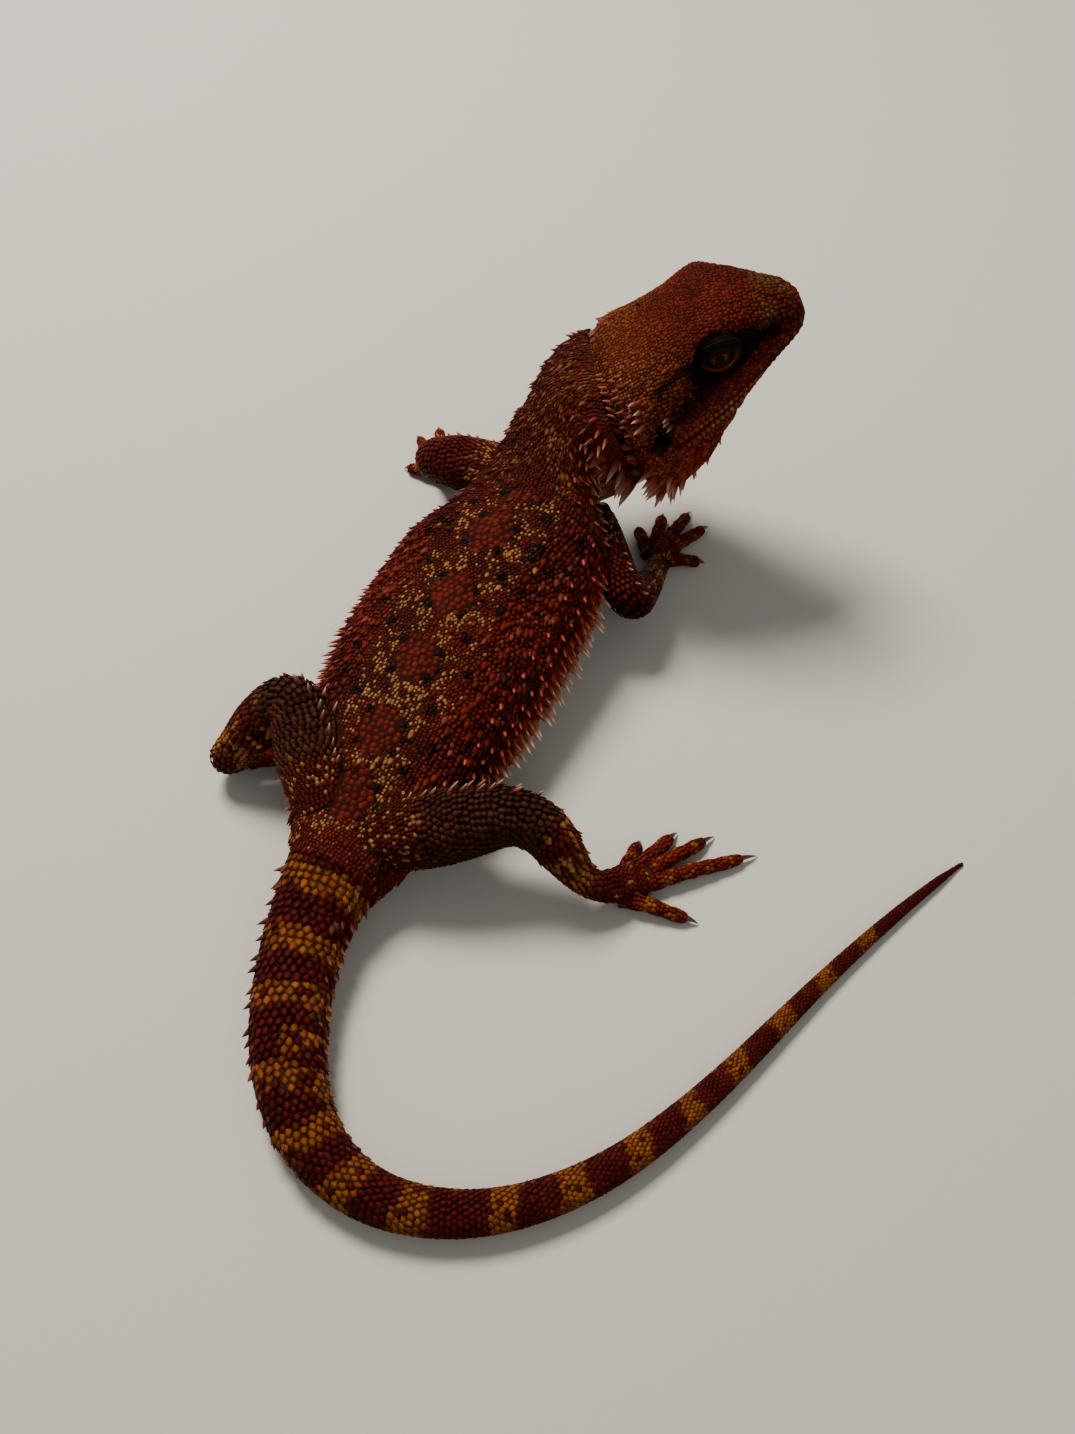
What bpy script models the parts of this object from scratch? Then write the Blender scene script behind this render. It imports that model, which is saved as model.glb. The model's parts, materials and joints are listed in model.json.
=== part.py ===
"""Young bearded dragon, life size, lying on its belly with its head raised and turned.

The animal faces -Y with its right side at -X, and rests on the plane z = 0. The origin is on the belly,
between the hips. Lengths are in millimetres until a mesh is made.

The body is a row of tubes: each carries an outline along a path, and the nodes are lengths of a tube,
parted by thin flat gaps. Limbs start inside the trunk and are cut clear of it. Spines are cones set on
the tubes in seeded loops and fused to the node that they grow from.
"""
import math
import random

import bmesh
import bpy
import numpy as np
from mathutils import Matrix, Vector
from mathutils.bvhtree import BVHTree

MM = 0.001
TAU = 2 * math.pi
GAP = 0.3
SEED = 11

# Trunk: distance ahead of the origin, sideways shift, level of the widest line, half width, top, bottom
TRUNK = (
    (-7.0, 0.9, 5.8, 6.9, 11.7, -0.1),
    (0.0, 0.0, 6.8, 9.8, 12.8, -0.6),
    (8.0, -0.6, 7.6, 12.3, 15.2, -0.6),
    (20.0, -1.6, 8.2, 15.3, 18.0, -0.6),
    (34.0, -2.5, 9.0, 16.7, 20.5, -0.6),
    (46.0, -2.5, 10.6, 16.5, 22.8, -0.3),
    (56.0, -0.7, 13.4, 13.8, 24.6, 2.6),
)
TRUNK_NODES = (("pelvis", -7.0, 9.0), ("torso", 9.0, 36.0), ("chest", 36.0, 56.0))
TRUNK_SIDES = 26
TRUNK_STEP = 2.5

# Head: its frame starts behind the jaws; distances run to the tip of the snout
HEAD_LENGTH = 32.0
HEAD_YAW = math.radians(57)
HEAD_PITCH = math.radians(22)
HEAD_ROLL = math.radians(1)
HEAD_BACK = (-2.0, -76.6, 31.3)
HEAD_SIDES = 28
HEAD_STEP = 1.45
HEAD_TOP = ((0, 6.8), (4.5, 7.4), (9, 8.4), (13, 9.6), (18.5, 11.0), (22.5, 9.9), (26, 7.8), (30, 5.1),
            (31.4, 3.6), (32, 2.4))
HEAD_LEVEL = ((0, -2.0), (8, -1.8), (15, -0.8), (20, 0.0), (26, 0.6), (30.5, 1.1), (32, 1.2))
HEAD_BOTTOM = ((0, 16.8), (5, 17.6), (10, 15.8), (12, 14.2), (14.5, 11.6), (18, 8.8), (23, 5.5), (26, 3.5),
               (30, 1.6), (31.4, 0.8), (32, 0.3))
HEAD_WIDTH = ((0, 12.8), (4, 13.9), (8.5, 13.5), (13, 12.6), (18, 11.0), (22, 9.0), (26, 7.2), (30, 5.2),
              (31.4, 3.6), (32, 2.0))
EYE_AT = (18.3, 7.0, 4.6)
EYE_RADIUS = 3.1
LID_THICKNESS = 0.65
LID_STRETCH = 1.1
LID_OPENING = (2.5, 1.45)
OPENING_AT = 3.2
OPENING_DEPTH = 3.0
EAR_AT = (5.9, -5.0)
EAR_RADII = (1.9, 1.0, 1.3)
EAR_LEAN = (0.9, 0.45)
DRUM_SHARE = 0.62
DRUM_THICKNESS = 0.3
DRUM_SINK = 0.58
NOSTRIL_AT = (26.8, 16.0)
NOSTRIL_RADIUS = 0.6
NOSTRIL_STRETCH = 1.3
NOSTRIL_DEPTH = 0.8
MOUTH = ((35, -0.2), (31, -0.6), (25, -2.2), (18, -3.4), (12.5, -4.5), (9, -5.2), (7.2, -7.2), (4.2, -22.0))
SHEET_REACH = 18.0

# Neck: between the chest's front and the back of the head
NECK_SIDES = 26
NECK_STEP = 0.12
NECK_WIDTH = ((0, 13.8), (0.45, 9.8), (0.7, 10.8), (0.87, 12.6), (1, 12.6))
NECK_RISE = ((0, 11.2), (0.5, 7.4), (1, 5.6))
NECK_DROP = ((0, 10.8), (0.45, 10.0), (0.7, 12.6), (0.87, 16.6), (1, 17.2))
NECK_CLIMB = 0.45

# Tail: length along it from the origin against its heading, its half width and its height over the width
TAIL_END = 155.0
TAIL_HEADING = ((7, 0), (11, 9), (16, 15), (35, 38), (50, 76), (59, 102), (78, 138), (97, 157), (115, 162),
                (135, 158.7), (155, 154))
TAIL_WIDTH = ((7, 6.9), (14, 5.9), (32, 5.1), (57, 3.4), (88, 2.4), (120, 1.55), (149, 0.85), (155, 0.35))
TAIL_TALL = 0.86
TAIL_CUTS = (7.0, 24.0, 40.0, 53.0, 68.0, 92.0, 120.0, 155.0)
TAIL_SINK = 0.12
TAIL_SIDES = (18, 16, 14, 12, 10, 9, 8)
TAIL_STEP = 3.2

# Limbs: root, elbow or knee, wrist or ankle, and the end of the palm or sole
LIMBS = {
    "fore_right": ((-6.0, -65.4, 15.0), (-18.3, -53.0, 10.4), (-16.4, -68.7, 3.9), (-14.4, -75.9, 1.5)),
    "fore_left": ((5.5, -65.0, 17.8), (22.2, -63.0, 17.6), (26.2, -73.6, 4.0), (28.6, -77.4, 1.5)),
    "hind_right": ((-3.0, 0.5, 7.6), (-22.6, -11.2, 13.0), (-33.6, -8.0, 4.4), (-38.6, -15.4, 1.7)),
    "hind_left": ((3.0, 0.0, 7.6), (16.6, -13.1, 15.0), (25.3, -2.6, 4.4), (22.8, -10.4, 1.7)),
}
LIMB_NODES = {
    "fore": ("upper_arm", "forearm", "hand"),
    "hind": ("thigh", "shank", "foot"),
}
# Thickness along the whole limb, as a share of its length against the half width
LIMB_WIDTH = {
    "fore_right": ((0, 3.0), (0.14, 3.3), (0.3, 3.2), (0.42, 3.0), (0.6, 2.6), (0.82, 1.8), (0.9, 2.3), (1, 2.7)),
    "fore_left": ((0, 3.8), (0.14, 4.6), (0.3, 4.4), (0.42, 3.6), (0.6, 3.1), (0.82, 1.9), (0.9, 2.4), (1, 2.8)),
    "hind_right": ((0, 4.6), (0.22, 5.3), (0.5, 3.9), (0.62, 3.5), (0.8, 2.2), (0.9, 2.6), (1, 3.1)),
    "hind_left": ((0, 4.6), (0.22, 5.4), (0.5, 4.2), (0.62, 3.9), (0.8, 2.5), (0.9, 2.7), (1, 3.1)),
}
LIMB_TALL = {"fore": ((0, 1.0), (0.82, 1.0), (1, 0.5)), "hind": ((0, 1.0), (0.8, 1.0), (1, 0.55))}
LIMB_BEND = {"fore": (5.6, 2.2), "hind": (5.5, 4.4)}
LIMB_SIDES = 12
LIMB_STEP = 2.2
FOLD = 0.75
TRIM = 0.05

# Heading of each hand and foot from -Y towards +X, in degrees
HEADING = {"fore_right": -4.0, "fore_left": 38.0, "hind_right": -30.0, "hind_left": -25.0}
# Digits, the inner one first: turn towards the outer side in degrees, length with its claw, how far its
# root lies behind the end of the palm and how far to the outer side
DIGITS = {
    "fore": ((-42, 8.0, 2.6, -1.5), (-18, 11.0, 1.6, -1.0), (-2, 13.0, 1.2, 0.0), (14, 12.0, 1.6, 1.0),
             (52, 7.4, 2.8, 1.5)),
    "hind": ((-34, 8.0, 3.0, -1.6), (-16, 11.5, 2.0, -1.1), (-2, 14.6, 1.4, -0.2), (14, 18.6, 1.6, 0.9),
             (50, 11.5, 5.0, 1.0)),
}
DIGIT_RADIUS = ((0, 1.25), (0.45, 1.1), (0.74, 1.0), (0.84, 0.65), (1, 0.1))
DIGIT_HEIGHT = ((0, 1.4), (0.35, 1.7), (0.74, 0.9), (0.88, 0.75), (1, 0.25))
DIGIT_SIDES = 6

# Rows of spines: tube, first and last place, spacing, degrees above the side, length at the first, middle
# and last place, radius, lean along the tube and lift. A lean above 0 points to the tail or to a limb's tip.
BODY_ROWS = (
    ("trunk", 1.0, 55.0, 2.3, -3.0, (1.8, 3.3, 2.4), 0.62, 0.5, 0.05),
    ("trunk", 4.0, 54.0, 3.4, 15.0, (1.2, 1.8, 1.6), 0.55, 0.7, 0.15),
    ("trunk", 3.0, 54.0, 5.0, 40.0, (0.9, 1.2, 1.3), 0.6, 1.0, 0.1),
    ("neck", 0.08, 0.94, 0.12, 2.0, (2.2, 2.0, 2.2), 0.6, 0.7, 0.0),
    ("neck", 0.12, 0.9, 0.15, 32.0, (1.5, 1.5, 1.8), 0.6, 0.9, 0.1),
    ("tail", 8.5, 50.0, 3.1, 8.0, (1.7, 1.2, 0.6), 0.55, 1.0, 0.05),
    ("tail", 9.5, 50.0, 4.2, 44.0, (1.1, 0.9, 0.6), 0.6, 1.1, 0.1),
)
# Rows across the head, across the neck at the jaw's corner, and under the jaw: place, first and last degrees above the side, count on each side,
# length at the first and last, radius, lean and lift
HEAD_ROWS = (
    (1.0, -52.0, -8.0, 6, (4.0, 3.6), 0.6, 1.0, -0.1),
    (2.9, -40.0, -17.0, 4, (2.6, 3.0), 0.6, 0.9, -0.15),
    (1.0, 10.0, 66.0, 6, (2.8, 1.6), 0.6, 1.3, 0.15),
    (5.6, 14.0, 25.0, 2, (1.9, 1.6), 0.6, 1.2, 0.1),
    (1.4, -84.0, -60.0, 4, (3.0, 4.0), 0.6, 0.8, -0.1),
    (4.6, -60.0, -36.0, 4, (2.4, 2.6), 0.6, 0.6, -0.2),
)
JAW_CORNER_ROWS = (
    (0.84, -58.0, -6.0, 6, (4.4, 3.8), 0.7, 1.3, -0.05),
    (0.93, -70.0, -16.0, 5, (4.0, 3.6), 0.65, 1.1, -0.1),
)
BEARD_ROWS = (
    (8.0, -86.0, -38.0, 6, (2.5, 2.8), 0.6, 0.8, -0.1),
    (11.4, -84.0, -40.0, 5, (1.8, 1.9), 0.6, 1.1, -0.1),
    (15.2, -80.0, -42.0, 4, (1.3, 1.4), 0.55, 1.3, 0.0),
)
# Rows along a limb: kind, node's rank, first and last share of the node, spacing, turn round the limb from
# its outer side, length, radius, lean and lift
LIMB_ROWS = (
    ("hind", 0, 0.42, 0.92, 2.6, 150.0, 1.7, 0.55, 0.8, 0.2),
    ("hind", 0, 0.38, 0.9, 3.0, 185.0, 1.8, 0.55, 0.8, 0.2),
    ("hind", 1, 0.15, 0.85, 3.0, 165.0, 1.2, 0.5, 0.8, 0.1),
    ("fore", 0, 0.5, 0.9, 2.6, 110.0, 1.2, 0.5, 0.8, 0.2),
    ("fore", 1, 0.12, 0.8, 3.0, 150.0, 1.2, 0.5, 0.8, 0.1),
)
SPINE_JITTER = 0.12
CLEARANCE = 0.45
# A spine that would come too close to another node is tried again: more upright, and shorter
SPINE_TRIES = ((0.0, 1.0), (0.6, 1.0), (1.5, 0.9), (3.0, 0.75))
SPINE_PROBES = (0.2, 0.6, 1.0)

SKIN_COLOURS = {
    "head": (0.42, 0.15, 0.06),
    "body": (0.33, 0.11, 0.055),
    "tail": (0.36, 0.17, 0.07),
    "limb": (0.34, 0.12, 0.06),
    "eye": (0.03, 0.015, 0.01),
    "ear": (0.02, 0.012, 0.01),
}


def curve(knots, places):
    """Return the smooth curve through the knots, with no overshoot, at the places."""
    xs, ys = np.array(knots, float).T
    steps, slopes = np.diff(xs), np.diff(ys) / np.diff(xs)
    inner = np.where(slopes[:-1] * slopes[1:] > 0,
                     2 * slopes[:-1] * slopes[1:] / (slopes[:-1] + slopes[1:] + 1e-12), 0.0)
    tangents = np.concatenate([slopes[:1], inner, slopes[-1:]])
    index = np.clip(np.searchsorted(xs, places, side="right") - 1, 0, len(xs) - 2)
    share = (np.clip(places, xs[0], xs[-1]) - xs[index]) / steps[index]
    square, cube = share ** 2, share ** 3
    return ((2 * cube - 3 * square + 1) * ys[index] + (cube - 2 * square + share) * steps[index] * tangents[index]
            + (3 * square - 2 * cube) * ys[index + 1] + (cube - square) * steps[index] * tangents[index + 1])


def unit(vector):
    """Return the vector at length one."""
    return np.asarray(vector, float) / np.linalg.norm(vector)


def bump(value, middle, reach):
    """Return a smooth hill of height one round the middle."""
    return np.exp(-((np.asarray(value, float) - middle) / reach) ** 2)


def oval(angles, half_width, rise, drop, upper_power=2.3, lower_power=2.6):
    """Return across and height of a rounded box outline; angle 0 is the right side, a quarter turn the top."""
    cosine, sine = np.cos(angles), np.sin(angles)
    power = np.where(sine >= 0, upper_power, lower_power)
    across = half_width * np.sign(cosine) * np.abs(cosine) ** (2 / power)
    reach = np.where(sine >= 0, rise, drop)
    return across, reach * np.sign(sine) * np.abs(sine) ** (2 / power)


class Tube:
    """An outline carried along a path.

    frame(place) gives the centre and the unit vectors to the right and up; outline(place, angles, grow)
    gives across and height in that frame, with the outline made larger all round by the grow.
    """

    def __init__(self, frame, outline):
        self.frame = frame
        self.outline = outline

    def points(self, place, angles, shift=0.0, grow=0.0):
        """Return the surface points at the angles, moved ahead by the shift."""
        centre, right, up = self.frame(place)
        across, height = self.outline(place, np.asarray(angles, float), grow)
        ahead = np.cross(up, right)
        return centre + shift * ahead + np.outer(across, right) + np.outer(height, up)

    def rings(self, start, end, step, sides, gap=GAP, grow=0.0):
        """Return evenly spaced rings from start to end, with the end rings drawn in by half the gap."""
        angles = TAU * np.arange(sides) / sides
        count = max(2, int(round(abs(end - start) / step)) + 1)
        places = np.linspace(start, end, count)
        shifts = np.zeros(count)
        shifts[0], shifts[-1] = gap / 2, -gap / 2
        return [self.points(place, angles, shift, grow) for place, shift in zip(places, shifts)]

    def spot(self, place, angle):
        """Return a surface point, its outward normal and the direction along the tube towards lower places."""
        here = self.points(place, [angle])[0]
        along = self.points(place + 0.1, [angle])[0] - self.points(place - 0.1, [angle])[0]
        around = self.points(place, [angle + 0.02])[0] - self.points(place, [angle - 0.02])[0]
        normal = unit(np.cross(around, along))
        if np.dot(normal, here - self.frame(place)[0]) < 0:
            normal = -normal
        return here, normal, -unit(along)


def trunk_frame(place):
    """Return the trunk's frame at a distance ahead of the origin."""
    table = np.array(TRUNK)
    shift = curve(table[:, [0, 1]], place)
    level = curve(table[:, [0, 2]], place)
    return np.array([-shift, -place, level]), np.array([-1.0, 0.0, 0.0]), np.array([0.0, 0.0, 1.0])


def trunk_outline(place, angles, grow=0.0):
    """Return the trunk's outline: a broad back over a flat belly."""
    table = np.array(TRUNK)
    level, width, top, bottom = (curve(table[:, [0, column]], place) for column in (2, 3, 4, 5))
    return oval(angles, width + grow, top - level + grow, level - bottom + grow, 2.15, 2.7)


def turned_axes(yaw, pitch, roll):
    """Return the directions ahead, right and up after a turn to the right, a rise and a roll."""
    ahead = np.array([-math.sin(yaw) * math.cos(pitch), -math.cos(yaw) * math.cos(pitch), math.sin(pitch)])
    level = np.array([-math.cos(yaw), math.sin(yaw), 0.0])
    right = math.cos(roll) * level + math.sin(roll) * np.cross(level, ahead)
    return ahead, right, np.cross(right, ahead)


def head_axes():
    """Return the head's directions ahead, to its right and up."""
    return turned_axes(HEAD_YAW, HEAD_PITCH, HEAD_ROLL)


def head_place(ahead, across, height):
    """Return the point at distances ahead, to the right and up in the head's frame."""
    forward, right, up = head_axes()
    return np.array(HEAD_BACK) + ahead * forward + across * right + height * up


def head_frame(place):
    """Return the head's frame at a distance ahead of its back."""
    forward, right, up = head_axes()
    return np.array(HEAD_BACK) + place * forward, right, up


def head_outline(place, angles, grow=0.0):
    """Return the head's outline with its brow ridges, sockets, snout ridges, cheeks and lips."""
    width, top, bottom, level = (curve(k, place) for k in (HEAD_WIDTH, HEAD_TOP, HEAD_BOTTOM, HEAD_LEVEL))
    across, height = oval(angles, width + grow, top - level + grow, bottom + level + grow, 2.2, 2.7)
    side = np.degrees(np.abs(np.arctan2(np.sin(angles), np.abs(np.cos(angles)))))
    side = np.where(np.sin(angles) >= 0, side, -side)
    swell = 1.1 * bump(place, 18.8, 4.0) * bump(side, 45, 13)
    swell = swell + 0.55 * bump(place, 18.4, 5.0) * bump(side, 36, 8)
    swell = swell + 0.35 * bump(place, 24.5, 3.7) * bump(side, 48, 12)
    swell = swell - 1.4 * bump(place, 18.3, 3.8) * bump(side, 18, 11)
    swell = swell - 0.5 * bump(place, 23.5, 3.2) * bump(side, 22, 14)
    swell = swell + 0.5 * bump(place, 4, 4.0) * bump(side, -8, 22)
    swell = swell + 0.5 * bump(place, 18, 10.0) * bump(side, -19, 9)
    swell = swell + 1.6 * bump(place, 2.5, 5.0) * bump(side, -44, 22)
    swell = swell + 0.9 * bump(place, 12.5, 5.0) * bump(side, -40, 18)
    swell = swell - 0.35 * bump(place, 13, 12.0) * bump(side, 90, 22)
    radial = unit_columns(across, height)
    return across + swell * radial[0], level + height + swell * radial[1]


def unit_columns(across, height):
    """Return across and height scaled to length one."""
    length = np.maximum(np.hypot(across, height), 1e-9)
    return across / length, height / length


def neck_frame(share):
    """Return the neck's frame: a curve from the chest to the head that turns and climbs."""
    start, finish = trunk_frame(TRUNK[-1][0])[0], head_frame(0.0)[0]
    first, last = unit([0.0, -1.0, NECK_CLIMB]), head_axes()[0]
    pull = np.linalg.norm(finish - start)
    square, cube = share ** 2, share ** 3
    centre = ((2 * cube - 3 * square + 1) * start + (cube - 2 * square + share) * pull * first
              + (3 * square - 2 * cube) * finish + (cube - square) * pull * last)
    ease = share * share * (3 - 2 * share)
    _, right, up = turned_axes(HEAD_YAW * ease, HEAD_PITCH * ease, HEAD_ROLL * ease)
    return centre, right, up


def neck_outline(share, angles, grow=0.0):
    """Return the neck's outline, narrower than the jaws ahead of it."""
    width, rise, drop = (curve(knots, share) for knots in (NECK_WIDTH, NECK_RISE, NECK_DROP))
    return oval(angles, width + grow, rise + grow, drop + grow, 2.15, 2.5)


def tail_path():
    """Return the tail's lengths and its points, walked from its base by its heading."""
    lengths = np.linspace(TAIL_CUTS[0], TAIL_END, 600)
    turn = np.radians(curve(TAIL_HEADING, lengths))
    steps = np.diff(lengths, prepend=lengths[0])
    start = trunk_frame(-TAIL_CUTS[0])[0]
    return lengths, np.column_stack([start[0] - np.cumsum(np.sin(turn) * steps),
                                     start[1] + np.cumsum(np.cos(turn) * steps)])


TAIL_LENGTHS, TAIL_POINTS = tail_path()


def tail_half_height(place):
    """Return half of the tail's height."""
    return TAIL_TALL * curve(TAIL_WIDTH, place)


def tail_frame(place):
    """Return the tail's frame at a length along it; right is the animal's right at its base."""
    turn = math.radians(float(curve(TAIL_HEADING, place)))
    x = np.interp(place, TAIL_LENGTHS, TAIL_POINTS[:, 0])
    y = np.interp(place, TAIL_LENGTHS, TAIL_POINTS[:, 1])
    right = np.array([-math.cos(turn), -math.sin(turn), 0.0])
    return np.array([x, y, tail_half_height(place) - TAIL_SINK]), -right, np.array([0.0, 0.0, 1.0])


def tail_outline(place, angles, grow=0.0):
    """Return the tail's outline, a little flattened below."""
    half = tail_half_height(place) + grow
    return oval(angles, curve(TAIL_WIDTH, place) + grow, half, half, 2.1, 2.3)


def rounded_path(corners, bends):
    """Return points along the corners, with each inner corner rounded over its bend length."""
    corners = [np.array(corner, float) for corner in corners]
    path = [corners[0]]
    for before, corner, after, bend in zip(corners, corners[1:], corners[2:], bends):
        enter, leave = corner + bend * unit(before - corner), corner + bend * unit(after - corner)
        for share in np.linspace(0, 1, 9):
            path.append((1 - share) ** 2 * enter + 2 * share * (1 - share) * corner + share ** 2 * leave)
    path.append(corners[-1])
    return np.array(path)


def path_tube(path, width_knots, tall_knots):
    """Return a tube along the path and its length; knots run over shares of the length.

    The inner side of a bend is drawn in to FOLD of the bend's radius, so that the rings don't cross there.
    """
    lengths = np.concatenate([[0], np.cumsum(np.linalg.norm(np.diff(path, axis=0), axis=1))])
    total = lengths[-1]
    places = np.linspace(0, total, 160)
    points = np.column_stack([np.interp(places, lengths, path[:, axis]) for axis in range(3)])
    tangents = np.gradient(points, axis=0)
    for _ in range(6):
        tangents[1:-1] = (tangents[:-2] + tangents[1:-1] + tangents[2:]) / 3
    tangents /= np.linalg.norm(tangents, axis=1)[:, None]
    bends = np.gradient(tangents, places, axis=0)
    ups = []
    up = np.array([0.0, 0.0, 1.0])
    for tangent in tangents:
        up = unit(up - np.dot(up, tangent) * tangent)
        ups.append(up)
    ups = np.array(ups)

    def frame(place):
        centre = np.array([np.interp(place, places, points[:, axis]) for axis in range(3)])
        ahead = unit([np.interp(place, places, tangents[:, axis]) for axis in range(3)])
        upward = np.array([np.interp(place, places, ups[:, axis]) for axis in range(3)])
        upward = unit(upward - np.dot(upward, ahead) * ahead)
        return centre, np.cross(ahead, upward), upward

    def outline(place, angles, grow=0.0):
        half = curve(width_knots, place / total)
        tall = half * curve(tall_knots, place / total) + grow
        half = half + grow
        across, height = oval(angles, half, tall, tall, 2.1, 2.1)
        axes = frame(place)[1:]
        bend = [sum(np.interp(place, places, bends[:, n]) * axis[n] for n in range(3)) for axis in axes]
        spare = np.maximum(0.0, across * bend[0] + height * bend[1] - FOLD) / max(np.dot(bend, bend), 1e-9)
        return across - spare * bend[0], height - spare * bend[1]

    return Tube(frame, outline), total


def trimmed(rings):
    """Return the rings with each point that passes the plane of the first or last ring drawn back to it."""
    made = list(rings)
    for flat, nearby in ((rings[0], rings[1]), (rings[-1], rings[-2])):
        centre = flat.mean(axis=0)
        normal = unit(np.cross(flat[0] - centre, flat[len(flat) // 4] - centre))
        normal = normal * np.sign(np.dot(normal, nearby.mean(axis=0) - centre))
        for number in range(1, len(made) - 1):
            middle = made[number].mean(axis=0)
            inner, depths = np.dot(middle - centre, normal), (made[number] - centre) @ normal
            shares = np.where(depths < TRIM, (inner - TRIM) / np.maximum(inner - depths, 1e-6), 1.0)
            made[number] = middle + shares[:, None] * (made[number] - middle)
    return made


def mesh_object(name, rings, collection):
    """Return an object lofted through the rings and closed with a fan at each end."""
    sides = len(rings[0])
    mesh = bmesh.new()
    rows = [[mesh.verts.new(point * MM) for point in ring] for ring in rings]
    for row, after in zip(rows, rows[1:]):
        for corner in range(sides):
            other = (corner + 1) % sides
            mesh.faces.new((row[corner], row[other], after[other], after[corner]))
    for row, ring in ((rows[0], rings[0]), (rows[-1], rings[-1])):
        middle = mesh.verts.new(np.mean(ring, axis=0) * MM)
        for corner in range(sides):
            mesh.faces.new((row[corner], row[(corner + 1) % sides], middle))
    bmesh.ops.recalc_face_normals(mesh, faces=mesh.faces)
    return object_from(name, mesh, collection)


def object_from(name, mesh, collection):
    """Return an object made of the bmesh, in the collection."""
    data = bpy.data.meshes.new(name)
    mesh.to_mesh(data)
    mesh.free()
    made = bpy.data.objects.new(name, data)
    collection.objects.link(made)
    return made


def ball(name, centre, radii, axes, collection, rings=10):
    """Return an ellipsoid with its radii along the three axes."""
    mesh = bmesh.new()
    bmesh.ops.create_uvsphere(mesh, u_segments=2 * rings, v_segments=rings, radius=MM)
    turn = Matrix([list(axis) for axis in axes]).transposed().to_4x4()
    bmesh.ops.transform(mesh, verts=mesh.verts, matrix=Matrix.Translation(Vector(centre) * MM) @ turn
                        @ Matrix.Diagonal((*radii, 1.0)))
    bmesh.ops.recalc_face_normals(mesh, faces=mesh.faces)
    return object_from(name, mesh, collection)


def spine(name, root, direction, length, radius, collection, sides=5):
    """Return a cone from the root point, sunk well in, to its tip."""
    sink = max(0.8, 0.3 * length)
    direction = unit(direction)
    mesh = bmesh.new()
    bmesh.ops.create_cone(mesh, cap_ends=True, segments=sides, radius1=radius * MM, radius2=0.0,
                          depth=(length + sink) * MM)
    bmesh.ops.remove_doubles(mesh, verts=mesh.verts, dist=1e-6)
    middle = Vector(root + direction * (length - sink) / 2) * MM
    turn = Vector(direction).to_track_quat("Z", "Y").to_matrix().to_4x4()
    bmesh.ops.transform(mesh, verts=mesh.verts, matrix=Matrix.Translation(middle) @ turn)
    return object_from(name, mesh, collection)


def combine(target, operation, operand, solver="MANIFOLD"):
    """Apply a Boolean to the target; EXACT leaves open edges where round cutters meet these lofts."""
    cut = target.modifiers.new(operation.lower(), "BOOLEAN")
    cut.operation = operation
    cut.solver = solver
    if isinstance(operand, bpy.types.Collection):
        cut.operand_type = "COLLECTION"
        cut.collection = operand
    else:
        cut.object = operand
    apply_modifiers(target)


def apply_modifiers(target):
    """Replace the object's mesh by its evaluated one."""
    bpy.context.view_layer.update()
    evaluated = target.evaluated_get(bpy.context.evaluated_depsgraph_get())
    data = bpy.data.meshes.new_from_object(evaluated)
    target.modifiers.clear()
    old = target.data
    target.data = data
    bpy.data.meshes.remove(old)


def remove(made):
    """Remove an object and its mesh."""
    data = made.data
    bpy.data.objects.remove(made)
    bpy.data.meshes.remove(data)


def shells(data):
    """Return the mesh's closed surfaces as lists of faces in a bmesh, the largest first, and the bmesh."""
    mesh = bmesh.new()
    mesh.from_mesh(data)
    left = set(mesh.faces)
    found = []
    while left:
        stack = [left.pop()]
        shell = []
        while stack:
            face = stack.pop()
            shell.append(face)
            for edge in face.edges:
                for near in edge.link_faces:
                    if near in left:
                        left.discard(near)
                        stack.append(near)
        found.append(shell)
    found.sort(key=lambda shell: -sum(face.calc_area() for face in shell))
    return mesh, found


def keep_largest(target):
    """Keep only the largest closed surface of the object."""
    mesh, found = shells(target.data)
    for shell in found[1:]:
        bmesh.ops.delete(mesh, geom=shell, context="FACES")
    loose = [vert for vert in mesh.verts if not vert.link_faces]
    bmesh.ops.delete(mesh, geom=loose, context="VERTS")
    bmesh.ops.triangulate(mesh, faces=mesh.faces)
    mesh.to_mesh(target.data)
    mesh.free()


def level_off(target, floor):
    """Cut the object flat where it dips below the plane that it rests on."""
    if min(corner.co.z for corner in target.data.vertices) < 0:
        combine(target, "DIFFERENCE", floor)


def material(name, colour, roughness):
    """Return a Principled material."""
    made = bpy.data.materials.new(name)
    made.use_nodes = True
    shader = made.node_tree.nodes["Principled BSDF"]
    shader.inputs["Base Color"].default_value = (*colour, 1.0)
    shader.inputs["Roughness"].default_value = roughness
    shader.inputs["Metallic"].default_value = 0.0
    return made


def limb_tube(limb):
    """Return the tube of a whole limb, its length, and the places of its two joints along it."""
    kind = limb.split("_")[0]
    corners = LIMBS[limb]
    path = rounded_path(corners, LIMB_BEND[kind])
    tube, total = path_tube(path, LIMB_WIDTH[limb], LIMB_TALL[kind])
    joints = []
    for corner in corners[1:3]:
        near = np.argmin(np.linalg.norm(path - np.array(corner), axis=1))
        joints.append(float(np.sum(np.linalg.norm(np.diff(path[:near + 1], axis=0), axis=1))))
    return tube, total, joints


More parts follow.
